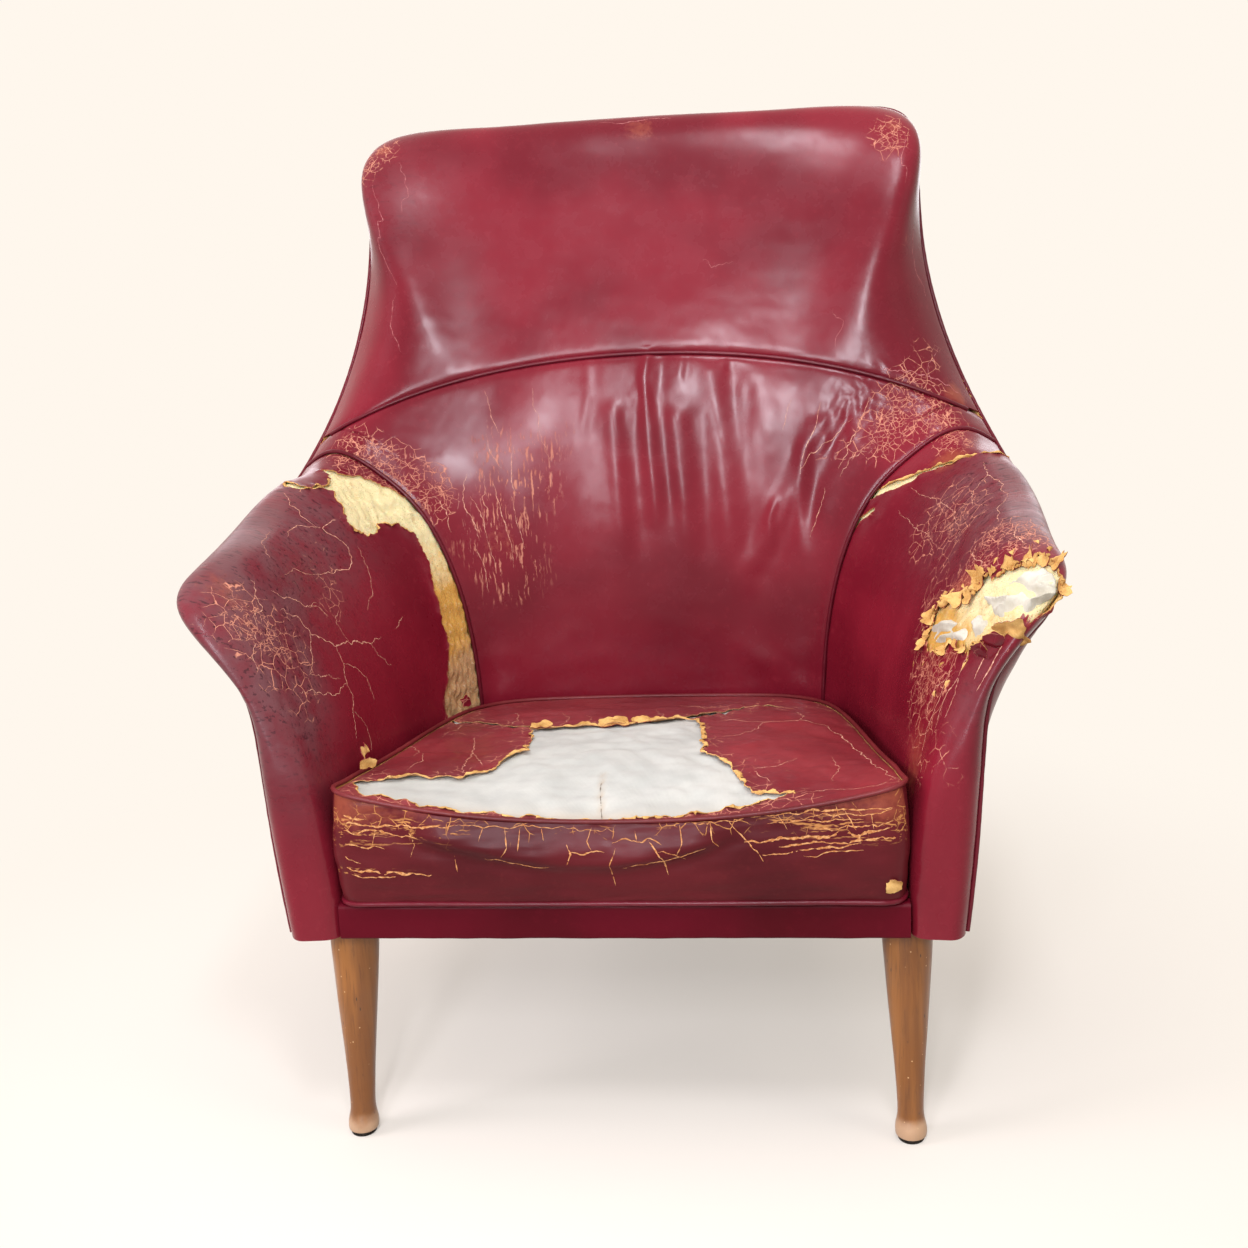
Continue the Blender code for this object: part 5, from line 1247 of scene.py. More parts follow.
def panel(name, grid, inward, node_name, edge_dip, seed):
    """A tight leather panel over a grid of points, drawn in a little at its nailed edges."""
    normal = np.cross(np.gradient(grid, axis=0), np.gradient(grid, axis=1))
    normal /= np.linalg.norm(normal, axis=-1)[..., None]
    normal *= np.sign((normal * np.array(inward, float)).sum(-1))[..., None]
    flat, normal = grid.reshape(-1, 3), normal.reshape(-1, 3)
    frame_points = np.concatenate([grid[0], grid[-1], grid[:, 0], grid[:, -1]])
    away = distance(flat, frame_points)
    sink = edge_dip * np.exp(-away / 0.004) - 0.0007 * ripple(flat, 0.14, seed, 2) * blend(0.0, 0.03, away)
    sink += 0.0005 * ripple(flat, 0.045, seed + 1, 2) * np.exp(-away / 0.03)
    outer = flat + normal * sink[:, None]
    marks = wear(outer)
    marks["craze"] = np.maximum(marks["craze"], 0.35 * np.exp(-away / 0.02))
    piece = double(name, outer, outer + normal * 0.0016, grid_faces(*grid.shape[:2]), [OXBLOOD, FLESH],
                   marks=marks)
    return place(piece, "oxblood_leather", node_name, fill=0.95)


def outside_panels():
    """Tight leather down the outside of both arms and across the back."""
    lines = np.linspace(0, U_ARM, 190)
    trim = trimmed_edge(lines, [1, 2], 0.0031)
    turn = int(np.searchsorted(lines, 0.180))
    rear = REAR_CORNER_Y - 0.0022
    trim[-1] = rear, np.interp(rear, trim[:, 0], trim[:, 1])
    front, top = trim[:turn + 1], trim[turn:]
    share = np.linspace(0, 1, 90)
    z = BASE_Z + (top[:, 1] - BASE_Z)[:, None] * share
    across = ((top[:, 0] - top[0, 0]) / (rear - top[0, 0]))[:, None]
    low = np.maximum.accumulate(front[:, 1])
    front_y = np.interp(BASE_Z + (low[-1] - BASE_Z) * share, low, front[:, 0])
    y = front_y * (1 - across) + rear * across
    grid = np.stack([outside_arm_x(y, z), y, z], axis=-1)
    panel("outside_arm_right_hide", grid, (-1, 0, 0), "outside_arm_right", 0.0009, 51)
    panel("outside_arm_left_hide", grid * (-1, 1, 1), (1, 0, 0), "outside_arm_left", 0.0009, 53)
    lines = np.linspace(U_ARM, U_END / 2, 190)
    trim = trimmed_edge(lines, [0, 2], -0.0030)
    turn = int(np.searchsorted(lines, BACK_TURN))
    side, top = trim[:turn + 1], trim[turn:]
    low = np.linspace(BASE_Z, side[0, 1], 40)[:-1]
    row_z = np.concatenate([low, side[:, 1]])
    half = np.concatenate([back_side(low)[0] - 0.0010, side[:, 0]])
    share = top[:, 0] / top[0, 0]
    share[-1] = 0
    rise = (row_z - BASE_Z) / (row_z[-1] - BASE_Z)
    x = share[:, None] * half[None, :]
    z = BASE_Z + (top[:, 1] - BASE_Z)[:, None] * rise[None, :]
    grid = np.stack([x, outside_back_y(x, z), z], axis=-1)
    grid = np.concatenate([grid, grid[-2::-1] * (-1, 1, 1)])
    panel("outside_back_hide", grid, (0, -1, 0), "outside_back", 0.0009, 55)


# ------------------------------------------------ loose cushion
# The boxing's slack: its upper part bags over a fold that droops between the ends, as (x, z) in millimetres
BAG_FOLD = ((-215, 338), (-158, 319), (-106, 307), (-53, 299), (-2, 298), (50, 305), (85, 316), (125, 330))
BOX_STREAKS = ((((-260, 344), (-249, 340), (-227, 337), (-207, 335), (-175, 336), (-146, 337)), 1.6),
               (((-261, 349), (-246, 346), (-230, 342)), 1.8),
               (((-146, 337), (-114, 336), (-79, 335), (-44, 333)), 0.9),
               (((-44, 333), (-17, 330), (2, 330)), 0.7),
               (((-261, 334), (-243, 331), (-220, 333), (-200, 327), (-182, 325)), 1.3),
               (((-260, 322), (-244, 318), (-229, 316), (-214, 316)), 1.0),
               (((-262, 311), (-249, 303), (-238, 300)), 0.8),
               (((-256, 297), (-240, 293), (-213, 291), (-186, 289), (-172, 288)), 2.0),
               (((-250, 290), (-225, 286), (-206, 287)), 1.0),
               (((89, 338), (106, 338), (126, 341), (153, 343), (187, 346), (220, 347), (253, 350),
                 (261, 352)), 1.3), (((170, 340), (200, 343), (232, 344), (258, 347)), 0.9),
               (((140, 335), (166, 337), (196, 338), (226, 339)), 0.8),
               (((119, 318), (146, 320), (169, 322), (196, 324), (220, 325), (243, 329), (261, 332)), 2.2),
               (((150, 314), (180, 317), (214, 318), (246, 322), (262, 325)), 1.8),
               (((135, 306), (169, 310), (203, 314), (230, 317)), 1.3),
               (((182, 329), (214, 331), (240, 335), (259, 338)), 1.0),
               (((172, 305), (200, 309), (226, 311)), 0.8),
               (((106, 338), (112, 330), (122, 319), (130, 310), (136, 300)), 1.0),
               (((89, 338), (90, 323), (96, 314)), 0.8),
               (((-1, 320), (9, 323), (23, 321), (34, 324), (44, 318)), 1.3),
               (((33, 320), (40, 313), (45, 305), (49, 287)), 1.4), (((2, 316), (-4, 298), (0, 276)), 0.8),
               (((-43, 321), (-39, 311), (-43, 302)), 1.0), (((-40, 311), (-24, 314), (-8, 312)), 0.9),
               (((40, 313), (56, 310), (66, 302)), 0.8), (((-100, 334), (-98, 317), (-104, 308)), 0.7),
               (((-149, 307), (-147, 292)), 0.6), (((-86, 333), (-88, 314)), 0.7),
               (((61, 336), (63, 320), (58, 310)), 0.7), (((202, 350), (205, 340)), 0.7),
               (((210, 346), (220, 330)), 0.7), (((233, 344), (235, 329)), 0.7),
               (((-66, 334), (-64, 322)), 0.6), (((-120, 334), (-124, 322)), 0.5),
               (((20, 332), (22, 322)), 0.6), (((-20, 332), (-24, 322), (-20, 312)), 0.6),
               (((150, 343), (158, 331)), 0.6), (((-190, 332), (-186, 318), (-190, 306)), 0.6),
               (((-222, 331), (-226, 318)), 0.5), (((-120, 306), (-90, 301), (-60, 297)), 0.6),
               (((8, 297), (36, 301), (62, 307), (84, 314)), 0.7))


def fold_field(x, z):
    """How far the front boxing stands out from its smooth swell, in metres."""
    fold = np.array(BAG_FOLD, float) / 1000
    line = np.interp(x, fold[:, 0], fold[:, 1])
    reach = blend(fold[0, 0], fold[0, 0] + 0.06, x) * blend(fold[-1, 0], fold[-1, 0] - 0.05, x)
    away = z - line
    bag = 0.0080 * np.exp(-((away - 0.004) / np.where(away > 0.004, 0.026, 0.0085)) ** 2)
    return reach * (bag - 0.0012 * np.exp(-((away + 0.0095) / 0.0060) ** 2))


def boxing():
    """The leather round the cushion's sides, bagged and creased across its front."""
    count, rows = 620, 34
    outline = cushion_outline(count, 0.0)
    share = clustered(rows, 0.5)
    low = LOW_CORD_Z + SEAM
    high = cushion_height(outline[:, 0], outline[:, 1]) - SEAM
    z = low + (high - low)[:, None] * share[None, :]
    ahead = np.roll(outline, -1, 0) - np.roll(outline, 1, 0)
    ahead /= np.linalg.norm(ahead, axis=1)[:, None]
    outward = np.stack([ahead[:, 1], -ahead[:, 0], np.zeros(count)], axis=1)
    point = np.repeat(np.pad(outline, ((0, 0), (0, 1)))[:, None], rows, 1)
    point[..., 2] = z
    facing = np.clip(1 - point[..., 1] / 0.030, 0, 1)
    swell = 0.0060 * np.sin(math.pi * share)[None, :] * facing
    flat = point.reshape(-1, 3)
    front = (facing * (np.abs(point[..., 0]) < 0.262)).ravel()
    relief = swell.ravel() + front * fold_field(flat[:, 0], flat[:, 2])
    relief += 0.0008 * ripple(flat * (1, 1, 2.4), 0.060, 61, 1) * np.sin(math.pi * np.tile(share, count))
    relief += front * 0.0003 * ripple(flat * (0.5, 1, 3.0), 0.024, 63, 2)
    relief = relief.reshape(count, rows)[..., None]
    outer = point + outward[:, None] * relief
    inner = outer - outward[:, None] * HIDE
    flat = outer.reshape(-1, 3)
    marks = no_wear(flat)
    across, up = np.abs(flat[:, 0]), flat[:, 2]
    marks["craze"] = 0.20 + 0.35 * blend(0.29, 0.34, up) * front
    ends = blend(0.10, 0.20, across) * np.exp(-((up - 0.330) / 0.016) ** 2)
    low_left = blend(-0.16, -0.22, flat[:, 0]) * np.exp(-((up - 0.292) / 0.006) ** 2)
    marks["split"] = front * np.clip(1.0 * ends + 0.9 * low_left + 0.45 *
                                     np.exp(-((up - 0.333) / 0.007) ** 2), 0, 1)
    marks["rub"] = 0.55 * front * blend(0.325, 0.345, up) + 0.35 * front * blend(0.16, 0.26, across)
    piece = double("seat_boxing", flat, inner.reshape(-1, 3), grid_faces(count, rows, loop=True),
                   [BOXING, FLESH], marks=marks)
    place(piece, "boxing_leather", "cushion_boxing", fill=0.7)
    return outline


def front_surface(path, outline):
    """Points and outward directions along an (x, z) path in millimetres on the front boxing."""
    line = close_points(path)
    line[:, 1] += 0.0012 * ripple(np.pad(line, ((0, 0), (0, 1))), 0.020, int(abs(line[0, 0]) * 1000) + 5, 3)
    front = outline[outline[:, 1] < 0.010]
    front = front[np.argsort(front[:, 0])]
    y = np.interp(line[:, 0], front[:, 0], front[:, 1])
    low = LOW_CORD_Z + SEAM
    high = cushion_height(line[:, 0], y) - SEAM
    share = np.clip((line[:, 1] - low) / (high - low), 0, 1)
    point = np.stack([line[:, 0], y, low + (high - low) * share], axis=1)
    relief = 0.0060 * np.sin(math.pi * share) + fold_field(point[:, 0], point[:, 2])
    relief += 0.0008 * ripple(point * (1, 1, 2.4), 0.060, 61, 1) * np.sin(math.pi * share)
    relief += 0.0003 * ripple(point * (0.5, 1, 3.0), 0.024, 63, 2)
    outward = np.tile([0.0, -1.0, 0.0], (len(line), 1))
    return point + outward * relief[:, None], outward


def seat_leather(holes):
    """The cushion's torn leather top: edges lifted at the tears, and worn there and along its seam."""
    ring = cushion_outline(430, SEAM)
    x, y = np.meshgrid(np.arange(-0.268, 0.268, 0.0034), np.arange(-0.006, 0.456, 0.0034))
    nodes = np.stack([x.ravel(), y.ravel()], axis=1)
    nodes = nodes[inside(nodes, ring)]
    nodes = np.concatenate([nodes, cushion_outline(400, 0.0046), cushion_outline(380, 0.0070)])
    flat, faces = torn_mesh(ring, nodes, holes)
    away = distance(flat, np.concatenate([evenly(np.vstack([h, h[:1]]), 3 * len(h)) for h in holes]))
    outer = seat_top(flat[:, 0], flat[:, 1])
    edge_away = distance(flat, TOP_EDGE)
    outer[:, 2] += np.exp(-away / 0.007) * torn_lift(flat)
    inner = outer.copy()
    inner[:, 2] -= HIDE - 0.0011 * np.exp(-away / 0.003)
    marks = no_wear(flat)
    marks["craze"] = 0.28 + 0.42 * np.exp(-away / 0.030) + 0.25 * np.exp(-edge_away / 0.020)
    # Bloom round the tears: rougher leather whose grey-mauve colour is painted sheen
    marks["haze_and_sheen"] = 0.30 * np.exp(-away / 0.05) + 0.15
    marks["rub"] = 0.85 * np.exp(-away / 0.0035) + 0.35 * np.exp(-edge_away / 0.008)
    piece = double("seat_hide", outer, inner, faces, [SEAT, TORN], away < 0.0004, marks)
    place(piece, "oxblood_leather", "cushion_top", fill=0.7)


def muslin_case(tear):
    """The cushion's muslin case, sunk and creased where the tear bares it, stained towards its front, and
    with painted shade along the crease.
    """
    shares = 1 - np.linspace(0, 1, 64)[:-1] ** 0.9 * 0.995
    case = cushion_outline(300, 0.0036)
    flat = (CUSHION_MIDDLE + (case - CUSHION_MIDDLE)[None, :] * shares[:, None, None]).reshape(-1, 2)
    bare = inside(flat, tear) * blend(0.0, 0.030, distance(flat, evenly(np.vstack([tear, tear[:1]]), 500)))
    field = np.pad(flat, ((0, 0), (0, 1)))
    sink = 0.0006 + 0.0004 * (1 + ripple(field, 0.020, 81, 1))
    sink = sink - bare * (0.0016 + 0.0010 * ripple(field, 0.045, 82, 2))
    crease = np.array(((-20, 100), (-19, 77), (-18, 55), (-14, 26), (-12, 0)), float) / 1000
    crease = distance(flat, evenly(crease, 60))
    sink += 0.0020 * np.exp(-(crease / 0.0013) ** 2)
    top = seat_top(flat[:, 0], flat[:, 1], HIDE)
    top[:, 2] -= np.maximum(sink, -0.0012) + 0.0002
    slit = evenly(np.array(((-20, 82), (-19, 60), (-15, 30), (-12, 8)), float) / 1000, 56)
    nearest = [int(np.argmin(((flat - place_on) ** 2).sum(1))) for place_on in slit]
    slit = np.column_stack([slit, top[nearest, 2]])
    count = len(case)
    floor_z = CUSHION_Z + 0.0026
    wall = [np.column_stack([case, np.full(count, z)]) for z in (floor_z, CUSHION_Z + 0.010)]
    under = [np.column_stack([CUSHION_MIDDLE + (case - CUSHION_MIDDLE) * share, np.full(count, floor_z)])
             for share in (0.2, 0.6)]
    points, faces = capped(under + wall + list(top.reshape(-1, count, 3)))
    # Stain towards the front, and painted shade along the crease
    stain_and_shade = np.concatenate([np.zeros(4 * count), np.exp(-np.maximum(flat[:, 1] - 0.004, 0) / 0.012) +
                            0.9 * np.exp(-crease / 0.0016)])
    piece = publish("seat_muslin", points, faces, [MUSLIN], marks={"stain_and_shade": np.minimum(stain_and_shade, 1)})
    place(piece, "muslin", "cushion_liner", "cushion_filling", fill=0.75)
    # A dark line down the crease: painted shade
    cracks("muslin_crease", [(slit, np.tile([0.0, 0.0, 1.0], (len(slit), 1)), 1.1)], CREASE_SHADE, "muslin", 0.0004)


def cushion_bottom():
    """The leather under the cushion, a flat sheet."""
    base = cushion_outline(200, SEAM)
    loops = [np.column_stack([CUSHION_MIDDLE + (base - CUSHION_MIDDLE) * share, np.full(200, CUSHION_Z)])
             for share in (0.02, 0.3, 0.6, 0.85, 0.97, 1.0)]
    loops[-1] = loops[-1] + (0, 0, 0.0004)
    points, faces = capped([loop + (0, 0, 0.0018) for loop in loops] + loops[::-1])
    place(publish("seat_bottom", points, faces, [BOXING], marks=no_wear(points, craze=0.3)),
          "oxblood_leather", "cushion_bottom", fill=0.7)


def cushion_pieces(tree):
    """The loose cushion: boxing, torn top, muslin case, bottom and two cords. Its tears and its outline."""
    outline = boxing()
    holes = [ragged(SEAT_HOLE, 0.0018, 71), ragged(SEAT_SPLIT, 0.0006, 73),
             ragged(SEAT_SPLIT_RIGHT, 0.0006, 75)]
    seat_leather(holes)
    muslin_case(holes[0])
    cushion_bottom()
    line = cushion_outline(640, 0.0)
    top_line = np.column_stack([line, cushion_height(line[:, 0], line[:, 1])])
    welt("seat_top_welt", top_line, WELT, tree, "cushion_top_piping", loop=True, finish=CORD_WORN)
    low_line = np.column_stack([line, np.full(640, LOW_CORD_Z)])
    welt("seat_bottom_welt", low_line, WELT, tree, "cushion_bottom_piping", loop=True)
    return holes[0], outline


# ------------------------------------------------ base
def rail_hide():
    """The leather strip round the front rail, its upper edge rounded by the padding under it."""
    y0, y1, z0, z1 = 0.0015, 0.0290, LEG_TOP + 0.0003, 0.2522
    turn = np.linspace(0, math.pi / 2, 7)
    corner = [(y0 + 0.0050 * (1 - math.cos(t)), z1 - 0.0050 * (1 - math.sin(t))) for t in turn]
    foot = [(y0 + 0.0030 * (1 - math.sin(t)), z0 + 0.0030 * (1 - math.cos(t))) for t in turn]
    section = [(y1, z0)] + foot + [(y0 - 0.0004, z0 + 0.010), (y0 - 0.0005, z0 + 0.017)] + corner
    section += [(0.0140, z1), (0.0140, z1 - 0.0016), (0.0050, z1 - 0.0016), (y0 + 0.0020, z1 - 0.0060),
                (y0 + 0.0018, z0 + 0.0040), (0.0050, z0 + 0.0016), (y1, z0 + 0.0016)]
    section = np.array(section)
    points, faces = capped([np.column_stack([np.full(len(section), x), section])
                            for x in np.linspace(-0.269, 0.269, 220)])
    front = points[:, 1] < 0.006
    points[:, 1] -= np.where(front, 0.0004 * ripple(points * (1, 0, 1), 0.050, 91, 2), 0)
    piece = publish("front_rail_hide", points, faces, [RAIL], marks=no_wear(points, craze=0.25))
    place(turned_out(piece), "rail_leather", "front_rail_cover", fill=0.9)


def deck_felt():
    """The felt over the webbing, set back from the cushion's edge, its rim rounded by wear."""
    rings = []
    for inset, z in ((0.030, 0.2464), (0.026, 0.2466), (0.024, 0.2480), (0.024, 0.2508), (0.026, 0.2523),
                     (0.030, 0.2526)):
        rings.append(np.column_stack([cushion_outline(160, inset), np.full(160, z)]))
    place(publish("deck_felt", *capped(rings), [FELT]), "felt", "deck_pad", fill=0.9)


def turned_leg(name, foot, top, finish, profile, sides, node_name, slot, sign):
    """A turned piece whose axis leans from foot to top."""
    lean = (np.array(top) - np.array(foot)) / LEG_TOP
    turn = np.linspace(0, 2 * math.pi, sides, endpoint=False)
    rings = []
    for radius, z in profile:
        middle = np.array(foot) + lean * z
        rings.append(np.column_stack([middle[0] + radius * np.cos(turn), middle[1] + radius * np.sin(turn),
                                      np.full(sides, z)]))
    points, faces = capped(rings)
    if sign < 0:
        faces = [face[::-1] for face in faces]
    place(publish(name, points * (sign, 1, 1), faces, [finish], sharp=40), slot, node_name)


def legs():
    """Four turned legs, each on a nail glide."""
    profile = np.array(LEG_PROFILE)
    knots = np.concatenate([[0], np.cumsum(np.linalg.norm(np.diff(profile, axis=0), axis=1))])
    fine = spline_weights(knots, np.linspace(0, knots[-1], 110)) @ profile
    foot = [(profile[0, 0] - 0.0020, profile[0, 1] - 0.0001),
            (profile[0, 0] - 0.0008, profile[0, 1] + 0.0002)]
    fine = np.array(foot + [(r, max(z, profile[0, 1] + 0.0009)) for r, z in fine])
    fine = fine[np.concatenate([[True], np.diff(fine[:, 1]) > 1e-5])]
    disc = [(0.0112, 0.0), (0.0122, 0.0003), (0.0128, 0.0012), (0.0128, 0.0034), (0.0124, GLIDE)]
    for end in ("front", "rear"):
        for side, sign in (("right", 1), ("left", -1)):
            turned_leg("%s_leg_%s_turned" % (end, side), LEG_FEET[end], LEG_TOPS[end], BEECH, fine, 64,
                       "%s_leg_%s" % (end, side), "stained_beech", sign)
            turned_leg("%s_glide_%s_nail" % (end, side), LEG_FEET[end], LEG_TOPS[end], GLIDE_STEEL, disc, 40,
                       "%s_glide_%s" % (end, side), "black_steel", sign)


def staple_tree():
    """Sets a wire staple every 34 mm along the edges given, turned along them and a little askew."""
    tree = new_tree("staples", Places="Geometry", Width="Float", Wire="Float", Seed="Int", Finish="Material")
    given = node(tree, "NodeGroupInput").outputs
    size = node(tree, "CombineXYZ", (given["Width"], given["Wire"], given["Wire"]))
    bar = node(tree, "GeometryNodeMeshCube", {"Size": size})
    curve = node(tree, "GeometryNodeMeshToCurve", {"Mesh": given["Places"]})
    even = node(tree, "GeometryNodeResampleCurve", {"Curve": curve, "Length": 0.034}, mode="LENGTH")
    points = node(tree, "GeometryNodeCurveToPoints", {"Curve": even}, mode="EVALUATED")
    heading = node(tree, "FunctionNodeAlignEulerToVector", {"Vector": points.outputs["Tangent"]}, axis="X")
    skew = node(tree, "FunctionNodeRandomValue",
                {"Min": (0, 0, -0.22), "Max": (0, 0, 0.22), "Seed": given["Seed"]}, data_type="FLOAT_VECTOR")
    turn = node(tree, "FunctionNodeRotateEuler", {"Rotation": heading, "Rotate By": skew}, space="LOCAL")
    spread = node(tree, "GeometryNodeInstanceOnPoints", {"Points": points, "Instance": bar, "Rotation": turn})
    real = node(tree, "GeometryNodeRealizeInstances", {"Geometry": spread})
    finish = node(tree, "GeometryNodeSetMaterial", {"Geometry": real, "Material": given["Finish"]})
    node(tree, "NodeGroupOutput", {"Result": finish})
    return tree


def staples():
    """Staples round the dust cover's edge, under the chair."""
    side = [(x - 0.013, y) for x, y in BASE if 0.075 < y < 0.435]
    rear_x = np.linspace(0.205, -0.205, 40)
    rear = list(zip(rear_x, outside_back_y(rear_x, np.full_like(rear_x, BASE_Z)) - 0.014))
    runs = [[(-0.215, 0.0420), (0.215, 0.0420)], side, rear, [(-x, y) for x, y in side[::-1]]]
    verts, edges = [], []
    for run in runs:
        first = len(verts)
        verts += [(x, y, LEG_TOP - 0.00005) for x, y in run]
        edges += [(first + k, first + k + 1) for k in range(len(run) - 1)]
    made = grown("dust_cover_staples", verts, edges, staple_tree(), Width=0.0100, Wire=0.0008, Seed=4,
                 Finish=STAPLE)
    place(made, "plated_steel")


# ------------------------------------------------ torn edges and scraps
def run_of(ring, start, end):
    """The part of a closed outline from the point nearest start round to the point nearest end."""
    a, b = (int(np.argmin(np.linalg.norm(ring - np.array(p) / 1000, axis=1))) for p in (start, end))
    picked = np.arange(a, b + 1 if b > a else b + 1 + len(ring)) % len(ring)
    return evenly(ring[picked], max(6, int(run_length(ring[picked])[-1] / 0.0016)))


def hole_side(line, ring):
    """1 where the opening lies to the left of the line, -1 where it lies to the right."""
    ahead = np.gradient(line, axis=0)
    ahead /= np.linalg.norm(ahead, axis=1)[:, None]
    left = np.stack([-ahead[:, 1], ahead[:, 0]], axis=1)
    return 1 if inside(line + left * 0.0022, ring).mean() > 0.5 else -1


def arm_edge(side_name, which, start, end, radius, turn):
    """A torn edge of an arm's leather, for rolled_lip: the part of a tear between two of its places."""
    left = side_name == "left"
    hole, rough = TEARS[side_name][which]
    ring = ragged([(U_END * 1000 - x, y) if left else (x, y) for x, y in hole], rough, which)
    start, end = ((U_END * 1000 - p[0], p[1]) if left else p for p in (start, end))
    line = run_of(ring, start, end)
    side = hole_side(line, ring)
    if left:
        line, side = line * (-1, 1) + (U_END, 0), -side
    point, outward = shell_frame(line[:, 0], line[:, 1])
    rise = shell_relief(point) + LIFT[side_name] * (0.75 + 0.9 * ripple(point, 0.024, 12, 2))
    return point + outward * rise[:, None], outward, side, radius, turn, which + int(start[1])


def seat_edge(hole, start, end, radius, turn, seed):
    """A torn edge of the cushion's top leather, for rolled_lip."""
    line = run_of(hole, start, end)
    side = -hole_side(line, hole)
    point = seat_top(line[:, 0], line[:, 1])
    point[:, 2] += torn_lift(line)
    return point, np.tile([0.0, 0.0, 1.0], (len(line), 1)), side, radius, turn, seed


def loose_flake(u, v, heading, length, radius, turn, seed):
    """A short curl of peeled leather lying on an arm, for rolled_lip."""
    line = np.array([u, v]) / 1000 + np.linspace(-0.5, 0.5, 8)[:, None] * length * np.array(
        [[math.cos(heading), math.sin(heading)]])
    point, outward = shell_frame(line[:, 0], line[:, 1])
    return point + outward * (shell_relief(point) - 0.0002)[:, None], outward, 1, radius, turn, seed


def wadding(name, outline, height, fold, seed):
    """Crumpled cotton that shows in a tear, over a (u, v) outline in millimetres on the right arm."""
    ring = ragged(outline, 0.0008, seed, 0.0018)
    low, high = ring.min(0), ring.max(0)
    u, v = np.meshgrid(np.arange(low[0], high[0], 0.0015), np.arange(low[1], high[1], 0.0015))
    flat, faces = torn_mesh(ring, np.stack([u.ravel(), v.ravel()], axis=1), [])
    away = distance(flat, evenly(np.vstack([ring, ring[:1]]), 500))
    point, outward = shell_frame(flat[:, 0], flat[:, 1])
    field = np.stack([flat[:, 0] + 0.35 * flat[:, 1], 0.32 * flat[:, 1], 0 * flat[:, 0]], axis=1)
    crest = 1 - 2 * np.abs(ripple(field, 0.030, seed, 2))
    pinch = 1 - 2 * np.abs(ripple(field, 0.013, seed + 5, 1))
    rise = -0.0042 + (height + fold * crest + 0.35 * fold * pinch) * blend(0.0, 0.007, away)
    rise += shell_relief(point)
    piece = double(name, point + outward * rise[:, None], point + outward * (rise - 0.0011)[:, None], faces,
                   [COTTON])
    return place(piece, "muslin", fill=0.3)


def tongues(name, hole, picks, finishes):
    """Ragged tongues of leather turned back from a tear: (u, v, width, length, tilt) in millimetres."""
    middle = np.array(hole, float).mean(0)
    for k, (u, v, wide, long, tilt) in enumerate(picks):
        away = np.array([u, v]) - middle
        away *= 4 / np.linalg.norm(away)
        point, outward = shell_frame(np.array([u, u + away[0]]) / 1000, np.array([v, v + away[1]]) / 1000)
        up = (point[1] - point[0]) / np.linalg.norm(point[1] - point[0]) + outward[0] * tilt
        shape = np.array(((-0.5, -0.2), (0.5, -0.2), (0.42, 0.45), (0.2, 0.7), (0.12, 1.0), (-0.12, 0.62),
                          (-0.36, 0.86), (-0.5, 0.35))) * (wide, long)
        scrap("%s_%d" % (name, k + 1), shape if k % 2 == 0 else (shape * (-1, 1))[::-1],
              (point[0] + outward[0] * 0.0016) * 1000, np.cross(up, outward[0]), up, 34.0, 0.0016, 441 + k,
              finishes)


# Lips of the arms' tears: side, tear, from and to as (u, v) in millimetres, radius in millimetres, and turn
# in radians. Flakes are at (u, v), and tongues are (u, v, width, length, tilt).
NOSE_LIPS = (("right", 0, (320, 214), (348, 240), 3.0, 2.5), ("right", 0, (345, 246), (300, 297), 2.7, 2.6),
             ("right", 0, (299, 303), (303, 339), 3.0, 2.7), ("right", 0, (301, 347), (295, 382), 2.6, 2.6),
             ("right", 0, (295, 386), (288, 420), 3.1, 2.6), ("right", 0, (284, 424), (248, 445), 2.2, 2.2),
             ("right", 0, (242, 380), (241, 347), 2.0, 2.0), ("right", 0, (244, 333), (240, 304), 1.7, 2.0),
             ("right", 0, (254, 281), (288, 228), 1.6, 1.8))
BURST_LIPS = (("left", 0, (1503, 278), (1561, 304), 1.3, 1.9),
              ("left", 0, (1569, 304), (1591, 335), 1.4, 1.9),
              ("left", 0, (1584, 347), (1561, 384), 1.6, 2.0),
              ("left", 0, (1569, 395), (1579, 402), 1.8, 2.1),
              ("left", 0, (1573, 402), (1529, 411), 1.2, 1.6),
              ("left", 1, (1580, 439), (1587, 416), 1.7, 2.2),
              ("left", 1, (1581, 404), (1598, 416), 1.5, 2.0),
              ("left", 1, (1597, 424), (1583, 441), 1.5, 2.0))
RIP_LIPS = (("right", 1, (631, 309), (591, 376), 1.3, 1.9), ("right", 1, (587, 382), (542, 422), 1.4, 2.0),
            ("right", 1, (545, 411), (584, 376), 0.9, 1.5))
FLAKES = ((350, 222), (342, 206), (334, 196), (326, 188), (356, 243), (348, 263), (336, 277), (323, 293),
          (316, 323), (310, 301), (314, 352), (310, 378), (316, 405), (304, 428), (232, 301), (230, 331),
          (227, 263), (260, 246), (238, 232), (298, 206))
TONGUES = ((321, 214, 17, 9, 0.4), (334, 234, 9, 7, 0.5), (343, 240, 18, 13, 0.4), (336, 262, 13, 8, 0.6),
           (322, 276, 10, 12, 0.4), (308, 284, 19, 10, 0.5), (298, 303, 14, 7, 0.6), (303, 326, 20, 15, 0.4),
           (300, 346, 12, 8, 0.6), (297, 366, 17, 12, 0.5), (293, 388, 10, 17, 0.3), (289, 404, 16, 9, 0.6),
           (284, 420, 15, 15, 0.4), (262, 434, 12, 9, 0.6), (243, 376, 12, 5, 0.7), (243, 340, 14, 6, 0.7),
           (252, 290, 15, 7, 0.6), (274, 250, 14, 8, 0.6))


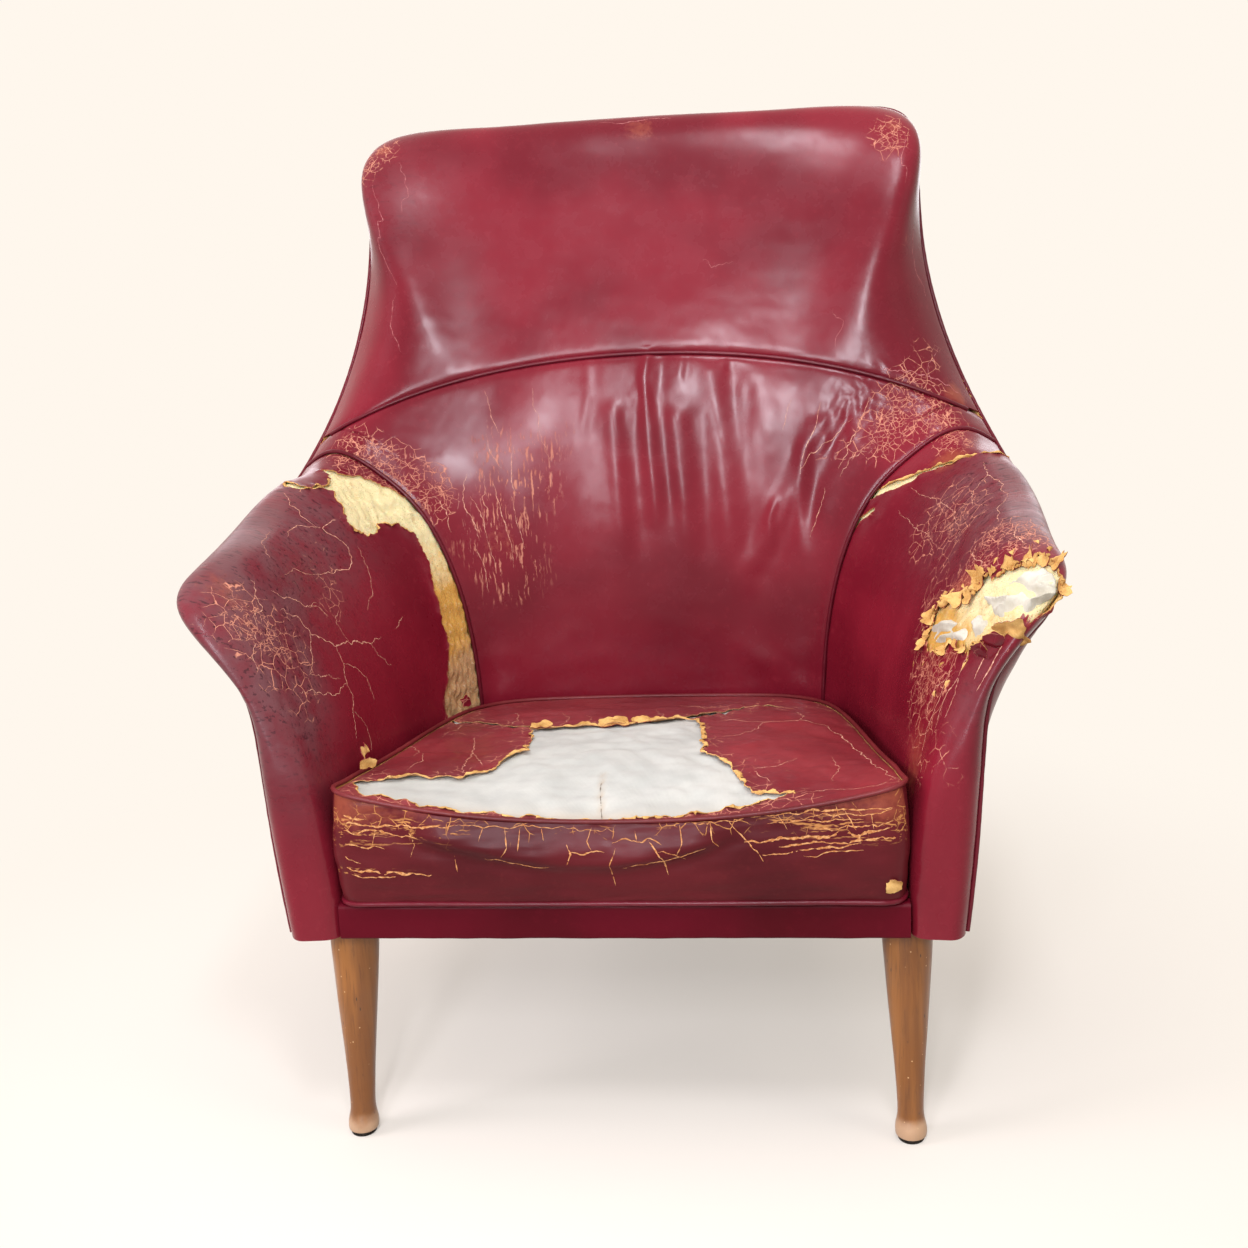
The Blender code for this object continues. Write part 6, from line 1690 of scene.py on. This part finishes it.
def rolled_edges(tear):
    """The lips of every tear, and the flakes peeled off round the arm's worn-through nose."""
    draw = np.random.default_rng(17)
    flakes = [loose_flake(u + draw.uniform(-3, 3), v + draw.uniform(-3, 3), draw.uniform(0, 3.14),
                          draw.uniform(0.007, 0.016), draw.uniform(0.0011, 0.0020), draw.uniform(1.3, 2.4),
                          200 + k) for k, (u, v) in enumerate(FLAKES)]
    for name, lips, more in (("nose_lips", NOSE_LIPS, flakes), ("burst_lips", BURST_LIPS, []),
                             ("rip_lips", RIP_LIPS, [])):
        rolled_lip(name, [arm_edge(*lip[:4], lip[4] / 1000, lip[5]) for lip in lips] + more)
    rolled_lip("seat_lips", [seat_edge(tear, (-86, 248), (-50, 246), 0.0010, 1.6, 303),
                             seat_edge(tear, (86, 9), (52, 3), 0.0020, 2.2, 317),
                             seat_edge(tear, (-237, 60), (-257, 48), 0.0016, 2.1, 325)])


def loose_scraps():
    """Flaps, tags and tongues of leather that hang at the tears, and the cotton in the arm's nose."""
    tan, red = [FLESH, OXBLOOD], [OXBLOOD, FLESH]
    point, outward = (a[0] for a in shell_frame(np.array([0.2415]), np.array([0.395])))
    base = (point + outward * 0.0015) * 1000 + (-15, -3, -4)
    scrap("nose_flap_large", ((-13, 2), (-5, 4), (4, 3), (13, 5), (15, -6), (10, -13), (14, -21), (7, -29),
                              (0, -25), (-5, -31), (-10, -23), (-7, -14), (-15, -9)), base,
          (0.93, -0.25, 0.28), (-0.10, -0.25, 1.0), -9.0, 0.0022, 401, tan)
    scrap("nose_flap_small", ((-8, 2), (4, 3), (9, -4), (4, -14), (-3, -18), (-8, -10)), base + (-14, -5, -7),
          (0.9, -0.3, 0.3), (-0.1, -0.4, 1.0), -12.0, 0.0014, 403, red)
    scrap("nose_shard", ((-5, 2), (5, 3), (7, -7), (2, -16), (-4, -12)), base + (-26, 0, -18),
          (0.8, -0.4, 0.3), (0.1, -0.5, 1.0), -10.0, 0.0012, 405, red)
    for k, (x, y, wide, deep) in enumerate(((-104, 243, 24, 11), (-25, 251, 33, 13), (5, 255, 22, 8))):
        shape = np.array(((-0.5, -0.15), (0.5, -0.15), (0.46, 0.7), (0.2, 0.95), (-0.25, 0.85),
                          (-0.5, 0.6))) * (wide, deep)
        z = seat_top(np.array([x / 1000]), np.array([y / 1000]))[0, 2] * 1000
        scrap("seat_fold_%d" % (k + 1), shape, (x, y, z + 1.6), (1, 0.06, 0), (0, 1, 0.30), 12.0, 0.0010,
              431 + k, tan)
    tongues("nose_tongue", NOSE_HOLE, TONGUES, tan)
    scrap("seat_corner_flap", ((-15, -1), (-6, 1), (6, 0), (15, -2), (17, 5), (9, 12), (0, 9), (-8, 13),
                               (-14, 7)), (-257, 92, 371), (-0.12, 1, 0.02), (-0.25, 0.0, 1.0), 12.0, 0.0013,
          407, tan)
    scrap("seat_corner_tag", ((-9, -1), (8, -1), (10, 6), (2, 11), (-7, 8)), (-246, 62, 370), (0.8, 0.6, 0.0),
          (-0.1, -0.2, 1.0), 14.0, 0.0010, 409, tan)
    scrap("burst_tag", ((-5, -1), (5, -1), (7, 7), (1, 13), (-6, 9)), (-213, 366, 341), (0.75, 0.4, 0.1),
          (-0.2, -0.1, 1.0), 16.0, 0.0009, 411, red)
    scrap("boxing_tag", ((-7, -6), (2, -8), (8, -3), (7, 5), (0, 8), (-6, 4)), (252, -8.6, 274), (1, 0.05, 0),
          (0, -0.1, 1), 8.0, 0.0013, 413, tan)
    wadding("nose_cotton_large", ((294, 331), (288, 354), (288, 386), (286, 411), (270, 426), (254, 434),
                                  (244, 428), (248, 403), (248, 380), (252, 354), (260, 335), (278, 323)),
            0.0066, 0.0042, 501)
    wadding("nose_cotton_small", ((294, 232), (316, 222), (326, 236), (316, 257), (294, 273), (278, 287),
                                  (266, 297), (262, 281), (274, 263), (286, 246)), 0.0054, 0.0036, 511)
    wadding("nose_cotton_strip", ((260, 331), (274, 319), (288, 301), (274, 293), (255, 303), (250, 319)),
            0.0050, 0.0026, 521)


SEAT_CRACKS = ((((71, 257), (100, 278), (137, 261), (177, 271), (201, 259), (222, 193), (236, 123), (250, 69),
                 (258, 30)), 0.9), (((-174, 225), (-164, 162), (-163, 113), (-159, 85)), 1.0),
               (((113, 100), (126, 95), (137, 74), (142, 60)), 0.9),
               (((137, 261), (128, 232), (112, 206), (92, 196)), 0.6),
               (((177, 271), (182, 300), (170, 340)), 0.7), (((-204, 300), (-200, 262), (-212, 230)), 0.7),
               (((-151, 267), (-140, 300), (-148, 336)), 0.7), (((-88, 252), (-80, 290), (-92, 322)), 0.6),
               (((20, 262), (26, 300), (14, 340)), 0.6), (((90, 322), (70, 350), (40, 366)), 0.7),
               (((-135, 104), (-150, 128), (-164, 162)), 0.6), (((126, 95), (150, 104), (170, 124)), 0.5),
               (((200, 60), (210, 90), (204, 124)), 0.5), (((-218, 100), (-208, 130), (-216, 160)), 0.6),
               (((-60, 250), (-52, 280), (-60, 306)), 0.5),
               (((170, 31), (196, 36), (224, 30), (250, 24)), 0.7),
               (((-240, 200), (-224, 180), (-222, 150)), 0.6))


def open_cracks(outline):
    """Cracks traced over the arms, the backs and the cushion."""
    lines = [(*surface_of(path), width) for path, width in LEFT_CRACKS + BACK_CRACKS]
    cracks("left_and_back_cracks", lines, BARE, "oxblood_leather")
    lines = [(*surface_of(path), width) for path, width in RIGHT_CRACKS]
    cracks("right_arm_cracks", lines, BARE, "oxblood_leather")
    cracks("head_cracks", [(*surface_of(path), width) for path, width in HEAD_CRACKS], PALE,
           "oxblood_leather")
    cracks("seat_cracks", [(*seat_surface(path), width) for path, width in SEAT_CRACKS], BARE,
           "oxblood_leather")
    lines = [(*front_surface(path, outline), 1.35 * width) for path, width in BOX_STREAKS]
    cracks("boxing_cracks", lines, TAN, "boxing_leather")




# ------------------------------------------------ the chair
welts = welt_tree()
shell_leather()
shell_welts(welts)
outside_panels()
seat_tear, front_line = cushion_pieces(welts)
rail_hide()
deck_felt()
legs()
staples()
rolled_edges(seat_tear)
loose_scraps()
open_cracks(front_line)
for names, finish in ((("_rail", "_block_", "_post_"), RAW_BEECH), (("webbing",), JUTE), (("_roll_",), FIBRE),
                      (("dust_cover",), CAMBRIC), (("_bolt_",), ZINC)):
    for label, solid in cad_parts.items():
        if any(key in label for key in names) and not solid.hide_render:
            solid.data.materials.clear()
            solid.data.materials.append(finish)


# ------------------------------------------------ floor, light and camera
BACKDROP = "#fff7ed"


def backdrop_light():
    """The world: a soft room light, and the pale backdrop where the camera looks past the floor."""
    world = bpy.data.worlds.new("room")
    bpy.context.scene.world = world
    world.use_nodes = True
    tree = world.node_tree
    tree.nodes.clear()
    seen = seen_rays(tree)
    room = node(tree, "Background", {"Color": linear("#fff9f2"), "Strength": 0.30})
    pale = node(tree, "Background", {"Color": linear(BACKDROP), "Strength": 1.0})
    both = node(tree, "MixShader", (seen, room, pale))
    node(tree, "OutputWorld", {"Surface": both})


def seen_rays(tree):
    """1 for rays that show the backdrop itself: to the camera, in a reflection or through a clear thing."""
    rays = node(tree, "LightPath").outputs
    near = node(tree, "Math", (rays["Is Camera Ray"], rays["Is Glossy Ray"]))
    return node(tree, "Math", (near, rays["Is Transmission Ray"]))


def floor():
    """Seamless paper: it takes the chair's shadow nearby, and fades into the backdrop further off."""
    points = np.array([(-9, -6, 0), (9, -6, 0), (9, 14, 0), (-9, 14, 0)], float)
    sheet = publish("floor", points, [(0, 1, 2, 3)], [])
    material, tree, shader = finish_of("seamless paper", 0.9, Specular_IOR_Level=0.0)
    seen = seen_rays(tree)
    paper = node(tree, "Mix", (seen, linear("#8f857c"), linear("#e9e1d7")), **COLOUR)
    feed(tree, shader, {"Base Color": paper})
    glow = node(tree, "Emission", {"Color": linear(BACKDROP), "Strength": 1.0})
    place_at = node(tree, "TexCoord").outputs["Object"]
    away = node(tree, "VectorMath", (place_at, (1.0, 0.9, 0.0)), **TIMES)
    away = node(tree, "VectorMath", (away,), operation="LENGTH")
    # Painted light: even beside the chair a third of the floor is the backdrop's glow, which pales the
    # chair's shadow
    share = node(tree, "MapRange", (away, 0.30, 1.10, 0.32, 1.0), **SMOOTH)
    share = node(tree, "Math", (share, seen), **TIMES)
    both = node(tree, "MixShader", (share, shader, glow))
    feed(tree, tree.nodes["Material Output"], {"Surface": both})
    sheet.data.materials.append(material)


def softbox(name, at, towards, size, power, colour, gloss=True):
    """A rectangular lamp at a place, facing another. A broad fill leaves no sheen."""
    lamp = bpy.data.lights.new(name, "AREA")
    lamp.shape = "RECTANGLE"
    lamp.size, lamp.size_y = size
    lamp.energy = power
    lamp.color = linear(colour)[:3]
    holder = bpy.data.objects.new(name, lamp)
    holder.visible_glossy, holder.visible_camera = gloss, False
    aim = (Vector(towards) - Vector(at)).to_track_quat("-Z", "Y")
    holder.matrix_world = Matrix.Translation(at) @ aim.to_matrix().to_4x4()
    bpy.context.scene.collection.objects.link(holder)


def camera():
    """The camera at the height of the chair's shoulders, a little to its right, and not quite level."""
    lens = bpy.data.cameras.new("camera")
    lens.lens, lens.sensor_width = 40.38, 36.0
    yaw, pitch, roll = math.radians(-6.07), math.radians(13.2), math.radians(-2.76)
    forward = Vector((math.sin(yaw) * math.cos(pitch), math.cos(yaw) * math.cos(pitch), -math.sin(pitch)))
    right = Vector((math.cos(yaw), -math.sin(yaw), 0))
    up = right.cross(forward)
    rolled_right = math.cos(roll) * right + math.sin(roll) * up
    rolled_up = -math.sin(roll) * right + math.cos(roll) * up
    holder = bpy.data.objects.new("camera", lens)
    turn = Matrix((rolled_right, rolled_up, -forward)).transposed()
    holder.matrix_world = Matrix.Translation((0.146, -1.5099, 0.805)) @ turn.to_4x4()
    bpy.context.scene.collection.objects.link(holder)
    bpy.context.scene.camera = holder


backdrop_light()
floor()
softbox("ceiling", (0.0, 0.20, 2.7), (0, 0, 0.4), (3.4, 2.2), 39, "#fffaf4", gloss=False)
softbox("left window", (-2.6, -0.9, 1.6), (-0.1, 0.1, 0.6), (1.2, 1.6), 53, "#fbf6ff", gloss=False)
softbox("right window", (2.4, -1.2, 1.7), (0.2, 0.1, 0.6), (1.0, 1.4), 14, "#fffaf4", gloss=False)
softbox("roof window", (0.24, -1.50, 3.05), (0.12, 0.23, 0.89), (0.34, 0.60), 27, "#f4f6ff")
softbox("tall window", (0.0, -2.05, 1.52), (0.1, -0.1, 0.70), (0.16, 0.46), 21, "#f4f6ff")
softbox("tall window foot", (-0.42, -2.05, 1.02), (0.0, -0.1, 0.65), (0.26, 0.70), 17, "#f4f6ff")
softbox("far windows", (0.0, 3.4, 1.4), (0.0, 0.2, 0.6), (4.6, 1.2), 30, "#f6f4ff")
camera()
scene = bpy.context.scene
scene.view_settings.view_transform = "Standard"
scene.view_settings.look = "None"
